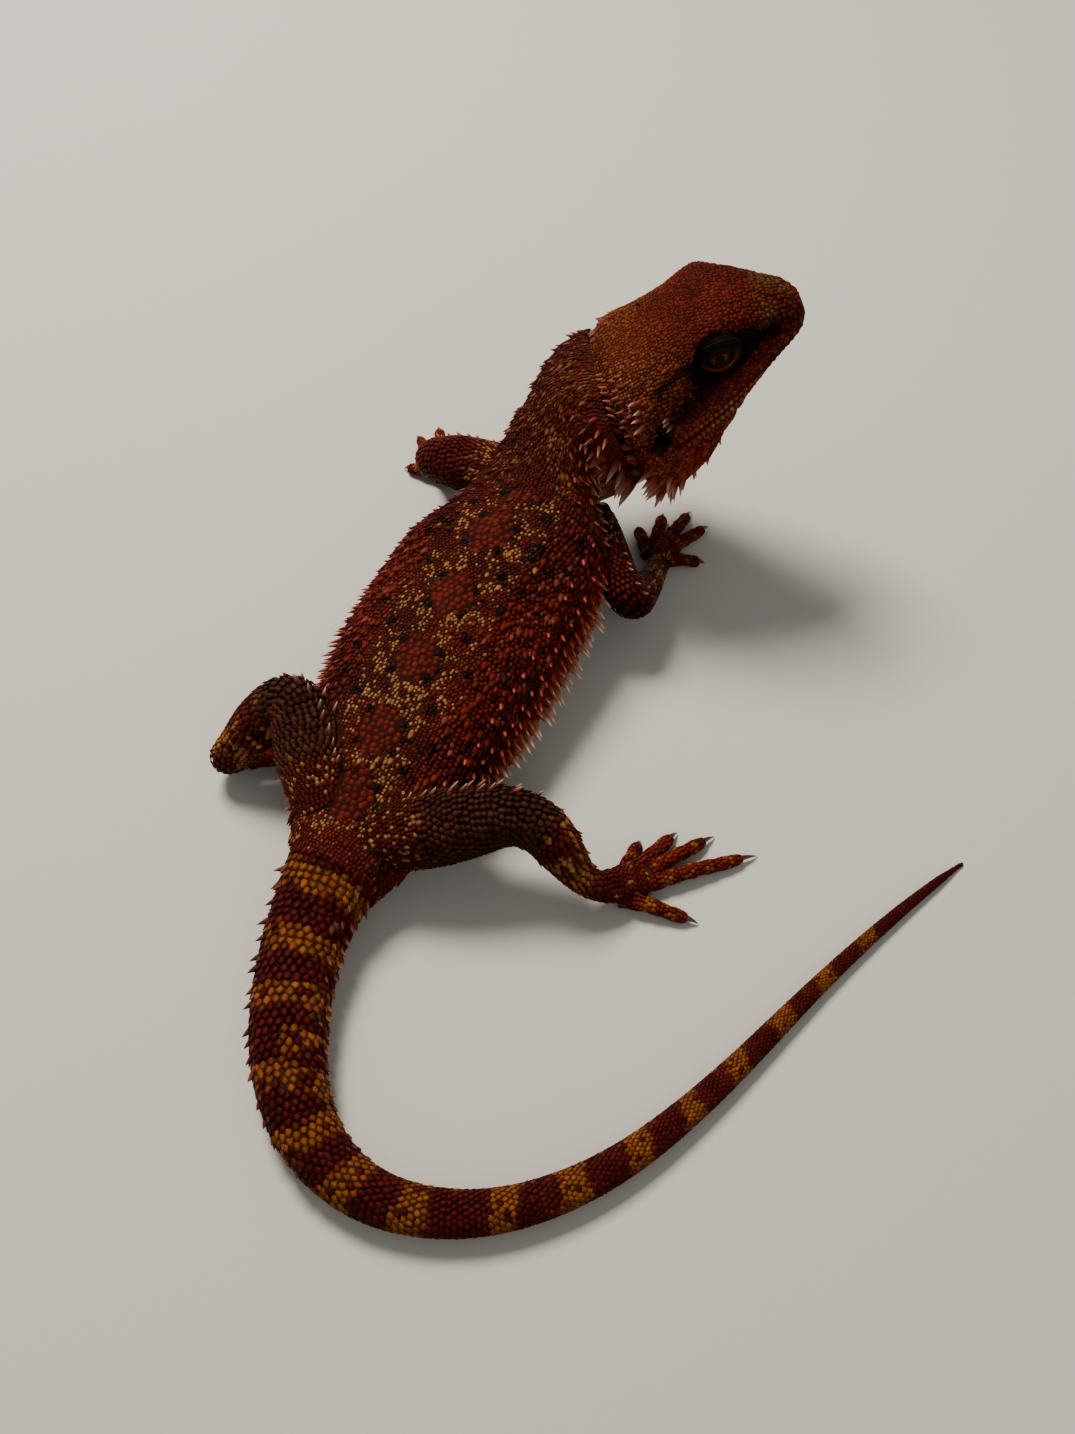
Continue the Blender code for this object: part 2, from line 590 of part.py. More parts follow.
def digit_rings(limb, turn, length, back, offset):
    """Return the rings of one digit, from inside the palm to the tip of its claw."""
    kind, side = limb.split("_")
    outer = 1.0 if side == "left" else -1.0
    heading = math.radians(HEADING[limb])
    angle = heading + outer * math.radians(turn)
    foot_ahead = np.array([math.sin(heading), -math.cos(heading), 0.0])
    foot_outer = outer * np.array([math.cos(heading), math.sin(heading), 0.0])
    ahead = np.array([math.sin(angle), -math.cos(angle), 0.0])
    across = np.array([math.cos(angle), math.sin(angle), 0.0])
    root = np.array([*LIMBS[limb][3][:2], 0.0]) - back * foot_ahead + offset * foot_outer
    angles = TAU * np.arange(DIGIT_SIDES) / DIGIT_SIDES
    rings = []
    for share in (0.0, 0.25, 0.5, 0.74, 0.84, 1.0):
        radius = curve(DIGIT_RADIUS, share)
        centre = root + share * length * ahead + np.array([0.0, 0.0, curve(DIGIT_HEIGHT, share)])
        rings.append(centre + radius * (np.outer(np.cos(angles), across)
                                        + np.outer(np.sin(angles), np.array([0.0, 0.0, 1.0]))))
    return rings


def box(name, low, high, collection):
    """Return a box between two corners."""
    mesh = bmesh.new()
    bmesh.ops.create_cube(mesh, size=1.0)
    low, high = Vector(low) * MM, Vector(high) * MM
    bmesh.ops.transform(mesh, verts=mesh.verts, matrix=Matrix.Translation((low + high) / 2)
                        @ Matrix.Diagonal((*(high - low), 1.0)))
    return object_from(name, mesh, collection)


def fuse(target, pieces):
    """Join the collection's objects to the target, remove them and keep the largest surface."""
    if pieces.objects:
        combine(target, "UNION", pieces)
    for piece in list(pieces.objects):
        remove(piece)
    keep_largest(target)


def mouth_sheet(collection):
    """Return the thin sheet that parts the jaw from the head, following the line of the mouth."""
    line = np.array(MOUTH, float)
    lengths = np.concatenate([[0], np.cumsum(np.linalg.norm(np.diff(line, axis=0), axis=1))])
    places = np.linspace(0, lengths[-1], 26)
    ahead, height = np.interp(places, lengths, line[:, 0]), np.interp(places, lengths, line[:, 1])
    slope = np.column_stack([np.gradient(ahead), np.gradient(height)])
    slope /= np.linalg.norm(slope, axis=1)[:, None]
    rings = []
    for place, level, (run, climb) in zip(ahead, height, slope):
        ring = []
        for across, side in ((1, 1), (-1, 1), (-1, -1), (1, -1)):
            ring.append(head_place(place - side * climb * GAP / 2, across * SHEET_REACH,
                                   level + side * run * GAP / 2))
        rings.append(np.array(ring))
    return mesh_object("mouth_sheet", rings, collection)


def eye_place(side):
    """Return the centre of an eye; side is 1 for the right one."""
    ahead, across, height = EYE_AT
    return head_place(ahead, side * across, height)


def add_lids(head, cutters, pieces):
    """Fuse the lids to the head and cut the room for each eyeball and the opening between the lids."""
    axes = head_axes()
    outer = EYE_RADIUS + GAP + LID_THICKNESS
    for side in (1, -1):
        ball("lid", eye_place(side), (outer * LID_STRETCH, outer, outer), axes, pieces, 7)
    fuse(head, pieces)
    for side in (1, -1):
        room = ball("eye_room", eye_place(side), [EYE_RADIUS + GAP] * 3, axes, cutters, 7)
        combine(head, "DIFFERENCE", room)
        remove(room)
        opening = ball("lid_opening", eye_place(side) + side * OPENING_AT * axes[1],
                       (LID_OPENING[0], OPENING_DEPTH, LID_OPENING[1]), axes, cutters, 7)
        combine(head, "DIFFERENCE", opening)
        remove(opening)


def carve_head(head, cutters, tube):
    """Cut the ear cups and the nostrils."""
    for side in (1, -1):
        angle = math.radians(EAR_AT[1]) if side == 1 else math.pi - math.radians(EAR_AT[1])
        spot, normal, _ = tube.spot(EAR_AT[0], angle)
        cup = ball("ear_cup", spot, EAR_RADII, ear_axes(normal), cutters, 7)
        combine(head, "DIFFERENCE", cup)
        remove(cup)
        angle = math.radians(NOSTRIL_AT[1]) if side == 1 else math.pi - math.radians(NOSTRIL_AT[1])
        spot, normal, _ = tube.spot(NOSTRIL_AT[0], angle)
        radii = (NOSTRIL_RADIUS * NOSTRIL_STRETCH, NOSTRIL_RADIUS, NOSTRIL_DEPTH)
        hole = ball("nostril", spot, radii, ear_axes(normal), cutters, 5)
        combine(head, "DIFFERENCE", hole)
        remove(hole)


def ear_axes(normal):
    """Return two directions in the surface, leaning with the jaw, and the normal."""
    ahead, _, up = head_axes()
    lean = unit(up * EAR_LEAN[0] + ahead * EAR_LEAN[1])
    first = unit(lean - np.dot(lean, normal) * normal)
    return first, np.cross(normal, first), normal


def ear_drum(side, tube, collection):
    """Return the ear drum at the bottom of its cup."""
    angle = math.radians(EAR_AT[1]) if side == 1 else math.pi - math.radians(EAR_AT[1])
    spot, normal, _ = tube.spot(EAR_AT[0], angle)
    radii = (EAR_RADII[0] * DRUM_SHARE, EAR_RADII[1] * DRUM_SHARE, DRUM_THICKNESS)
    return ball("ear", spot - normal * DRUM_SINK, radii, ear_axes(normal), collection, 4)


def build_axis(parts, cutters, pieces):
    """Make the head, jaw, neck, trunk and tail nodes; return the nodes and the tubes that they lie on."""
    head_tube, neck_tube = Tube(head_frame, head_outline), Tube(neck_frame, neck_outline)
    trunk_tube, tail_tube = Tube(trunk_frame, trunk_outline), Tube(tail_frame, tail_outline)
    nodes = {}
    rings = head_tube.rings(0.0, HEAD_LENGTH, HEAD_STEP, HEAD_SIDES)
    head = mesh_object("head", rings, parts)
    add_lids(head, cutters, pieces)
    carve_head(head, cutters, head_tube)
    sheet = mouth_sheet(cutters)
    combine(head, "DIFFERENCE", sheet)
    remove(sheet)
    jaw = head.copy()
    jaw.data = head.data.copy()
    jaw.name = "jaw"
    parts.objects.link(jaw)
    keep_shell(jaw, 1)
    keep_shell(head, 0)
    nodes["head"], nodes["jaw"] = head, jaw
    for side, name in ((1, "right"), (-1, "left")):
        nodes[f"eye_{name}"] = ball(f"eye_{name}", eye_place(side), [EYE_RADIUS] * 3, head_axes(), parts, 8)
        drum = ear_drum(side, head_tube, parts)
        drum.name = f"ear_{name}"
        nodes[drum.name] = drum
    nodes["neck"] = mesh_object("neck", neck_tube.rings(0.0, 1.0, NECK_STEP, NECK_SIDES), parts)
    for name, start, end in TRUNK_NODES:
        nodes[name] = mesh_object(name, trunk_tube.rings(start, end, TRUNK_STEP, TRUNK_SIDES), parts)
    for number, (start, end) in enumerate(zip(TAIL_CUTS, TAIL_CUTS[1:]), 1):
        rings = tail_tube.rings(start, end, TAIL_STEP, TAIL_SIDES[number - 1])
        nodes[f"tail_{number}"] = mesh_object(f"tail_{number}", rings, parts)
    tubes = {"head": head_tube, "neck": neck_tube, "trunk": trunk_tube, "tail": tail_tube}
    return nodes, tubes


def keep_shell(target, rank):
    """Keep one closed surface of the object: 0 is the largest, 1 the next."""
    mesh, found = shells(target.data)
    for number, shell in enumerate(found):
        if number != rank:
            bmesh.ops.delete(mesh, geom=shell, context="FACES")
    loose = [vert for vert in mesh.verts if not vert.link_faces]
    bmesh.ops.delete(mesh, geom=loose, context="VERTS")
    mesh.to_mesh(target.data)
    mesh.free()


def build_limbs(parts, cutters, pieces):
    """Make each limb's three nodes; return them and the limbs' tubes."""
    trunk, neck = Tube(trunk_frame, trunk_outline), Tube(neck_frame, neck_outline)
    rooms = [trunk.rings(TRUNK[0][0], TRUNK[-1][0], TRUNK_STEP, TRUNK_SIDES, gap=0.0, grow=GAP),
             neck.rings(0.0, 1.0, NECK_STEP, NECK_SIDES, gap=0.0, grow=GAP)]
    rooms = [mesh_object("body_room", rings, cutters) for rings in rooms]
    nodes, tubes = {}, {}
    for limb in LIMBS:
        kind, side = limb.split("_")
        tube, total, joints = limb_tube(limb)
        stops = (0.0, *joints, total)
        for name, start, end in zip(LIMB_NODES[kind], stops, stops[1:]):
            label = f"{name}_{side}"
            made = mesh_object(label, trimmed(tube.rings(start, end, LIMB_STEP, LIMB_SIDES)), parts)
            nodes[label] = made
        root = nodes[f"{LIMB_NODES[kind][0]}_{side}"]
        for room in rooms:
            combine(root, "DIFFERENCE", room)
            keep_largest(root)
        for digit in DIGITS[kind]:
            mesh_object("digit", digit_rings(limb, *digit), pieces)
        foot = nodes[f"{LIMB_NODES[kind][2]}_{side}"]
        fuse(foot, pieces)
        rings = tube.rings(*joints, LIMB_STEP, LIMB_SIDES, gap=0.0, grow=GAP)
        room = mesh_object("shank_room", rings, cutters)
        combine(foot, "DIFFERENCE", room)
        remove(room)
        keep_largest(foot)
        tubes[limb] = (tube, total, joints)
    for room in rooms:
        remove(room)
    return nodes, tubes


class Clearance:
    """Tells how far points are from the surfaces of all nodes but one."""

    def __init__(self, nodes):
        self.trees = {}
        for name, made in nodes.items():
            mesh = bmesh.new()
            mesh.from_mesh(made.data)
            bmesh.ops.transform(mesh, verts=mesh.verts, matrix=Matrix.Scale(1 / MM, 4))
            self.trees[name] = BVHTree.FromBMesh(mesh)
            mesh.free()

    def free(self, owner, points, margin):
        """Return whether the points keep the margin from every node but the owner, and from the floor."""
        for point in points:
            if point[2] < margin:
                return False
            for name, tree in self.trees.items():
                if name == owner:
                    continue
                spot, normal, _, distance = tree.find_nearest(Vector(point), 6.0)
                if spot is None:
                    continue
                inside = (Vector(point) - spot).dot(normal) < 0
                if inside or distance < margin:
                    return False
        return True


def grow_spine(owner, spot, normal, lean, length, radius, clear, pieces, draw):
    """Set one spine on its node, lifted or shortened until it clears the others; skip it if it can't."""
    size = length * (1 + draw.uniform(-SPINE_JITTER, SPINE_JITTER))
    sway = np.array([draw.uniform(-1, 1) for _ in range(3)]) * 0.5 * SPINE_JITTER
    for raise_by, share in SPINE_TRIES:
        direction = unit(normal * (1 + raise_by) + lean + sway)
        probes = [spot + direction * size * share * reach for reach in SPINE_PROBES]
        if clear.free(owner, probes, CLEARANCE + 0.4 * radius):
            spine("spine", spot, direction, size * share, radius, pieces[owner])
            return


def node_at(lengths, place, margin):
    """Return the node whose length along the tube holds the place with its margin, or None."""
    for name, start, end in lengths:
        if start + margin <= place <= end - margin:
            return name
    return None


def plant_body_rows(tubes, clear, pieces, draw):
    """Set the rows that run along the trunk, neck and tail, on both sides."""
    lengths = {
        "trunk": TRUNK_NODES,
        "neck": (("neck", 0.0, 1.0),),
        "tail": tuple((f"tail_{number}", start, end)
                      for number, (start, end) in enumerate(zip(TAIL_CUTS, TAIL_CUTS[1:]), 1)),
    }
    for key, start, end, spacing, degrees, sizes, radius, lean, lift in BODY_ROWS:
        tailward = -1.0 if key == "tail" else 1.0
        margin = 0.04 if key == "neck" else radius + 0.25
        for side in (1, -1):
            place = start + draw.uniform(0, 0.4) * spacing
            while place <= end:
                owner = node_at(lengths[key], place, margin)
                angle = math.radians(degrees + draw.uniform(-2.0, 2.0))
                angle = angle if side == 1 else math.pi - angle
                spot, normal, back = tubes[key].spot(place, angle)
                size = np.interp(place, (start, (start + end) / 2, end), sizes)
                if owner:
                    leaning = tailward * lean * back + np.array([0.0, 0.0, lift])
                    grow_spine(owner, spot, normal, leaning, size, radius, clear, pieces, draw)
                place += spacing * (1 + draw.uniform(-SPINE_JITTER, SPINE_JITTER))


def plant_cross_rows(rows, tube, owner, scatter, clear, pieces, draw):
    """Set rows of spines across the head, the jaw or the neck."""
    for place, first, last, count, sizes, radius, lean, lift in rows:
        for side in (1, -1):
            for share in np.linspace(0, 1, count):
                angle = math.radians(first + share * (last - first) + draw.uniform(-1.5, 1.5))
                angle = angle if side == 1 else math.pi - angle
                spot, normal, back = tube.spot(place + scatter * draw.uniform(-1, 1), angle)
                size = sizes[0] + share * (sizes[1] - sizes[0])
                leaning = lean * back + np.array([0.0, 0.0, lift])
                grow_spine(owner, spot, normal, leaning, size, radius, clear, pieces, draw)


def plant_limb_rows(limb_tubes, clear, pieces, draw):
    """Set the rows along the limbs, on the side that faces back and up."""
    for limb, (tube, total, joints) in limb_tubes.items():
        kind, side = limb.split("_")
        stops = (0.0, *joints, total)
        for row_kind, rank, first, last, spacing, degrees, size, radius, lean, lift in LIMB_ROWS:
            if row_kind != kind:
                continue
            owner = f"{LIMB_NODES[kind][rank]}_{side}"
            start, end = stops[rank], stops[rank + 1]
            place = start + first * (end - start)
            turn = math.radians(degrees if side == "left" else 180 - degrees)
            while place <= start + last * (end - start):
                spot, normal, back = tube.spot(place, turn + draw.uniform(-0.1, 0.1))
                leaning = -lean * back + np.array([0.0, 0.0, lift])
                grow_spine(owner, spot, normal, leaning, size, radius, clear, pieces, draw)
                place += spacing * (1 + draw.uniform(-SPINE_JITTER, SPINE_JITTER))


def plant_spines(nodes, tubes, limb_tubes):
    """Grow every row of spines and fuse each spine to its node."""
    draw = random.Random(SEED)
    clear = Clearance(nodes)
    pieces = {name: new_collection(f"spines_{name}") for name in nodes}
    plant_body_rows(tubes, clear, pieces, draw)
    plant_cross_rows(HEAD_ROWS, tubes["head"], "head", 0.2, clear, pieces, draw)
    plant_cross_rows(JAW_CORNER_ROWS, tubes["neck"], "neck", 0.01, clear, pieces, draw)
    plant_cross_rows(BEARD_ROWS, tubes["head"], "jaw", 0.2, clear, pieces, draw)
    plant_limb_rows(limb_tubes, clear, pieces, draw)
    for name, group in pieces.items():
        if group.objects:
            fuse(nodes[name], group)
        bpy.data.collections.remove(group)


def clear_scene():
    """Remove every object that the scene starts with."""
    for made in list(bpy.data.objects):
        bpy.data.objects.remove(made)


def new_collection(name):
    """Return a new collection in the scene."""
    made = bpy.data.collections.new(name)
    bpy.context.scene.collection.children.link(made)
    return made


def main():
    """Build the animal."""
    clear_scene()
    parts = new_collection("bearded_dragon")
    cutters = new_collection("cutters")
    pieces = new_collection("pieces")
    nodes, tubes = build_axis(parts, cutters, pieces)
    limbs, limb_tubes = build_limbs(parts, cutters, pieces)
    nodes.update(limbs)
    floor = box("floor", (-120, -150, -20), (80, 100, 0), cutters)
    for made in nodes.values():
        level_off(made, floor)
        keep_largest(made)
    remove(floor)
    plant_spines(nodes, tubes, limb_tubes)
    finishes = {name: material(name, colour, 0.6) for name, colour in SKIN_COLOURS.items()}
    for name, made in nodes.items():
        group = name.split("_")[0]
        limb_names = [limb for names in LIMB_NODES.values() for limb in names]
        finish = {"head": "head", "jaw": "head", "eye": "eye", "ear": "ear", "tail": "tail"}.get(group, "body")
        finish = "limb" if name.rsplit("_", 1)[0] in limb_names else finish
        made.data.materials.clear()
        made.data.materials.append(finishes[finish])
        made.data.shade_smooth()
        made.data.set_sharp_from_angle(angle=math.radians(50))


main()
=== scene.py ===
"""Bearded dragon: one scaled skin with its spines, lids, eyes and claws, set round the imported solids."""
import json
import logging
import math
from dataclasses import dataclass, field
from enum import Enum
from typing import Callable

import bmesh
import bpy
import numpy as np
from mathutils import Matrix, Vector

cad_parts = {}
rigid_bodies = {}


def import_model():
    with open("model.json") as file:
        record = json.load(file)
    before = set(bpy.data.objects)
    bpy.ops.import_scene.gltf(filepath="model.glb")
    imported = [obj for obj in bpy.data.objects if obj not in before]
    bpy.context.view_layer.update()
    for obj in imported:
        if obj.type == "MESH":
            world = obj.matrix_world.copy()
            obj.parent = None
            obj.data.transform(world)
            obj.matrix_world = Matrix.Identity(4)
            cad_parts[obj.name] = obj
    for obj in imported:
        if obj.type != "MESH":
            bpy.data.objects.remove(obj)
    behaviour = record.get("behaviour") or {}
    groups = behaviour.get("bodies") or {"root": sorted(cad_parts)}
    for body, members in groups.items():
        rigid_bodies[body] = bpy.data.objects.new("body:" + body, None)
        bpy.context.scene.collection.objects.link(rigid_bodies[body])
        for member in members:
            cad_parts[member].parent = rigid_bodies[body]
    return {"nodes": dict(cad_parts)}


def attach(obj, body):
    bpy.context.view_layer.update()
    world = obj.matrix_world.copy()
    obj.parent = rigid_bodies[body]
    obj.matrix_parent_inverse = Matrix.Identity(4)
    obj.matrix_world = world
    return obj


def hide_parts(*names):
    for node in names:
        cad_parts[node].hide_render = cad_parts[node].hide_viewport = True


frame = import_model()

MM = 0.001
TAU = 2 * math.pi
SKIN_DEPTH = 0.22
TRUNK_START, TRUNK_END = -7.0, 56.0
TAIL_START, TAIL_END = 7.0, 155.0
HEAD_END = 32.0
MOUTH_SAMPLES = 161
DICE_SCALE = 57.0
SCALE_SINK = -0.03
LIMB_SCALE_LIFT = 0.09
FLOOR_GAP = 0.02
POLAR_STEPS = 180
RING_STEPS = 240
BAKE_REACH = 0.0015
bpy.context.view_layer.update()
LOG = logging.getLogger("dragon")

Array = np.ndarray
Knots = tuple[tuple[float, float], ...]


def srgb(red: int, green: int, blue: int) -> tuple[float, float, float]:
    """Return the linear colour of three display values from 0 to 255."""
    values = (np.array([red, green, blue]) / 255.0 + 0.055) / 1.055
    return tuple(float(value) for value in values ** 2.4)


def curve(knots: Knots, places: Array | float) -> Array:
    """Return a smooth curve through knots, with no overshoot.

    Between two knots it is the cubic whose end slopes are the harmonic means of the slopes beside them.

    Args:
        knots: pairs of place and value, in rising order.
        places: where the curve is read; places outside the knots take the end values.

    Returns:
        The values, in the shape of the places.
    """
    xs, ys = np.array(knots, float).T
    steps, slopes = np.diff(xs), np.diff(ys) / np.diff(xs)
    inner = np.where(slopes[:-1] * slopes[1:] > 0,
                     2 * slopes[:-1] * slopes[1:] / (slopes[:-1] + slopes[1:] + 1e-12), 0.0)
    tangents = np.concatenate([slopes[:1], inner, slopes[-1:]])
    places = np.asarray(places, float)
    index = np.clip(np.searchsorted(xs, places, side="right") - 1, 0, len(xs) - 2)
    share = (np.clip(places, xs[0], xs[-1]) - xs[index]) / steps[index]
    square, cube = share ** 2, share ** 3
    return ((2 * cube - 3 * square + 1) * ys[index]
            + (cube - 2 * square + share) * steps[index] * tangents[index]
            + (3 * square - 2 * cube) * ys[index + 1] + (cube - square) * steps[index] * tangents[index + 1])


def unit(vectors: Array) -> Array:
    """Return the vectors at length one."""
    vectors = np.asarray(vectors, float)
    return vectors / np.maximum(np.linalg.norm(vectors, axis=-1, keepdims=True), 1e-12)


def bump(value: Array, middle: float | Array, reach: float) -> Array:
    """Return a smooth hill of height one round the middle: e to the minus square of distance over reach."""
    return np.exp(-((np.asarray(value, float) - middle) / reach) ** 2)


def smooth(value: Array, low: float, high: float) -> Array:
    """Return 0 below low, 1 above high and an S curve between them."""
    share = np.clip((np.asarray(value, float) - low) / (high - low), 0.0, 1.0)
    return share * share * (3 - 2 * share)


def mixed(first: Array, second: Array, share: Array) -> Array:
    """Return the mix of two sets of colours or points by a share from 0 to 1."""
    share = np.asarray(share, float)[..., None]
    return first * (1 - share) + second * share


def oval(angles: Array, half_width: Array, rise: Array, drop: Array, upper_power: float,
         lower_power: float) -> tuple[Array, Array]:
    """Return across and height of a rounded box outline.

    Each quarter is a superellipse: the cosine and sine of the angle to the power of two over its power, times
    the half width and the rise or drop. Angle 0 is the right side and a quarter turn is the top.

    Args:
        angles: angles round the outline, in radians.
        half_width: half of the width.
        rise: height of the top above the widest line.
        drop: depth of the bottom below it.
        upper_power: squareness above the widest line, 2 for an ellipse.
        lower_power: squareness below it.

    Returns:
        Across and height.
    """
    cosine, sine = np.cos(angles), np.sin(angles)
    power = np.where(sine >= 0, upper_power, lower_power)
    across = half_width * np.sign(cosine) * np.abs(cosine) ** (2 / power)
    reach = np.where(sine >= 0, rise, drop)
    return across, reach * np.sign(sine) * np.abs(sine) ** (2 / power)


def scramble(cells: Array, seed: int) -> Array:
    """Return a repeatable number from 0 to 1 for each row of whole numbers, from the sine of their mix."""
    mixture = cells @ np.array([12.9898, 78.233, 37.719]) + seed * 17.17
    wave = np.sin(mixture) * 43758.5453
    return wave - np.floor(wave)


def speckle(points: Array, seed: int) -> Array:
    """Return a number from 0 to 1 for each point that owes nothing to its neighbours'."""
    return scramble(points * DICE_SCALE, seed)


def cloud(points: Array, size: float, seed: int) -> Array:
    """Return smooth noise from -1 to 1 at the points.

    Random values stand on a cubic lattice of the given size, and each point takes the blend of the eight
    corners round it, with S curves as the weights.

    Args:
        points: rows of x, y and z in millimetres.
        size: lattice spacing in millimetres.
        seed: picks the values.

    Returns:
        One number for each point.
    """
    scaled = points / size
    cells = np.floor(scaled)
    share = scaled - cells
    share = share * share * (3 - 2 * share)
    total = np.zeros(len(points))
    for corner in np.ndindex(2, 2, 2):
        offset = np.array(corner, float)
        weight = np.prod(np.where(offset > 0, share, 1 - share), axis=-1)
        total += weight * scramble(cells + offset, seed)
    return 2 * total - 1


def along_path(place: Array, places: Array, rows: Array) -> Array:
    """Return the rows read at a place between their own places, column by column."""
    return np.stack([np.interp(place, places, column) for column in rows.T], axis=-1)


def stamp_axes(along: Array, out: Array) -> Array:
    """Return the directions across, to the tail and outwards, the second made square to the third."""
    along = unit(along - np.sum(along * out, axis=1, keepdims=True) * out)
    return np.stack([np.cross(along, out), along, out], axis=1)


@dataclass
class Form:
    """An outline carried along a path, with places along it and angles round it, in millimetres."""

    name: str
    start: float
    end: float
    unit_length: float = 1.0
    tailward: float = -1.0

    def frame(self, place: Array) -> tuple[Array, Array, Array]:
        """Return the centre and the directions to the right and up at each place."""
        raise NotImplementedError

    def outline(self, place: Array, angle: Array, grow: float) -> tuple[Array, Array]:
        """Return across and height of the outline at each place and angle, made larger by the grow."""
        raise NotImplementedError

    def surface(self, place: Array, angle: Array, grow: float = -SKIN_DEPTH) -> Array:
        """Return the skin's points: the centre plus across to the right plus height upwards.

        Args:
            place: places along the form.
            angle: angles round it, in radians, of the same shape.
            grow: how far the outline is moved outwards.

        Returns:
            Points with one more axis of three.
        """
        centre, right, up = self.frame(place)
        across, height = self.sculpt(place, *self.outline(place, angle, grow))
        return centre + across[..., None] * right + height[..., None] * up

    def sculpt(self, place: Array, across: Array, height: Array) -> tuple[Array, Array]:
        """Return across and height after the form's own folds and hollows."""
        return across, height

    def basis(self, place: Array, angle: Array) -> tuple[Array, Array, Array, Array]:
        """Return points, normals, directions towards the tail or toes, and directions round the form.

        The two directions in the surface are differences of the surface over short steps of place and angle.
        """
        step = 0.15 / self.unit_length
        here = self.surface(place, angle)
        along = self.surface(place + step, angle) - self.surface(place - step, angle)
        around = self.surface(place, angle + 0.02) - self.surface(place, angle - 0.02)
        centre = self.frame(place)[0]
        normal = unit(np.cross(around, along))
        outward = np.sum(normal * (here - centre), axis=-1, keepdims=True)
        normal = np.where(outward < 0, -normal, normal)
        back = unit(self.tailward * along)
        return here, normal, back, np.cross(back, normal)

    def columns(self, place: Array, count: int) -> Array:
        """Return the angles of a grid's columns at each place, from the belly round by the right side."""
        return np.broadcast_to(-math.pi / 2 + TAU * np.arange(count) / count, (len(place), count))


@dataclass
class Trunk(Form):
    """The body from the hips to the shoulders: a broad, low back over a flat belly."""

    shift: Knots = ((-7, 0.9), (0, 0.0), (8, -0.6), (20, -1.6), (34, -2.5), (46, -2.5), (56, -0.7))
    level: Knots = ((-7, 5.8), (0, 6.8), (8, 7.6), (20, 8.2), (34, 9.0), (46, 10.6), (56, 13.4))
    half_width: Knots = ((-7, 6.9), (0, 9.8), (8, 12.3), (20, 15.3), (34, 16.7), (46, 16.5), (56, 13.8))
    top: Knots = ((-7, 11.7), (0, 12.8), (8, 15.2), (20, 18.0), (34, 20.5), (46, 22.8), (56, 24.6))
    bottom: Knots = ((-7, -0.1), (0, -0.6), (8, -0.6), (20, -0.6), (34, -0.6), (46, -0.3), (56, 2.6))

    def frame(self, place: Array) -> tuple[Array, Array, Array]:
        """Return the frame at a distance ahead of the origin; the body runs along -Y."""
        place = np.asarray(place, float)
        centre = np.stack([-curve(self.shift, place), -place, curve(self.level, place)], axis=-1)
        return centre, np.array([-1.0, 0.0, 0.0]), np.array([0.0, 0.0, 1.0])

    def outline(self, place: Array, angle: Array, grow: float) -> tuple[Array, Array]:
        """Return the outline from the width, top and bottom knots, with a slight ridge along the spine."""
        level = curve(self.level, place)
        across, height = oval(angle, curve(self.half_width, place) + grow,
                              curve(self.top, place) - level + grow,
                              level - curve(self.bottom, place) + grow, 2.15, 2.7)
        return across, height + 0.25 * bump(across, 0.0, 1.6) * (np.sin(angle) > 0)


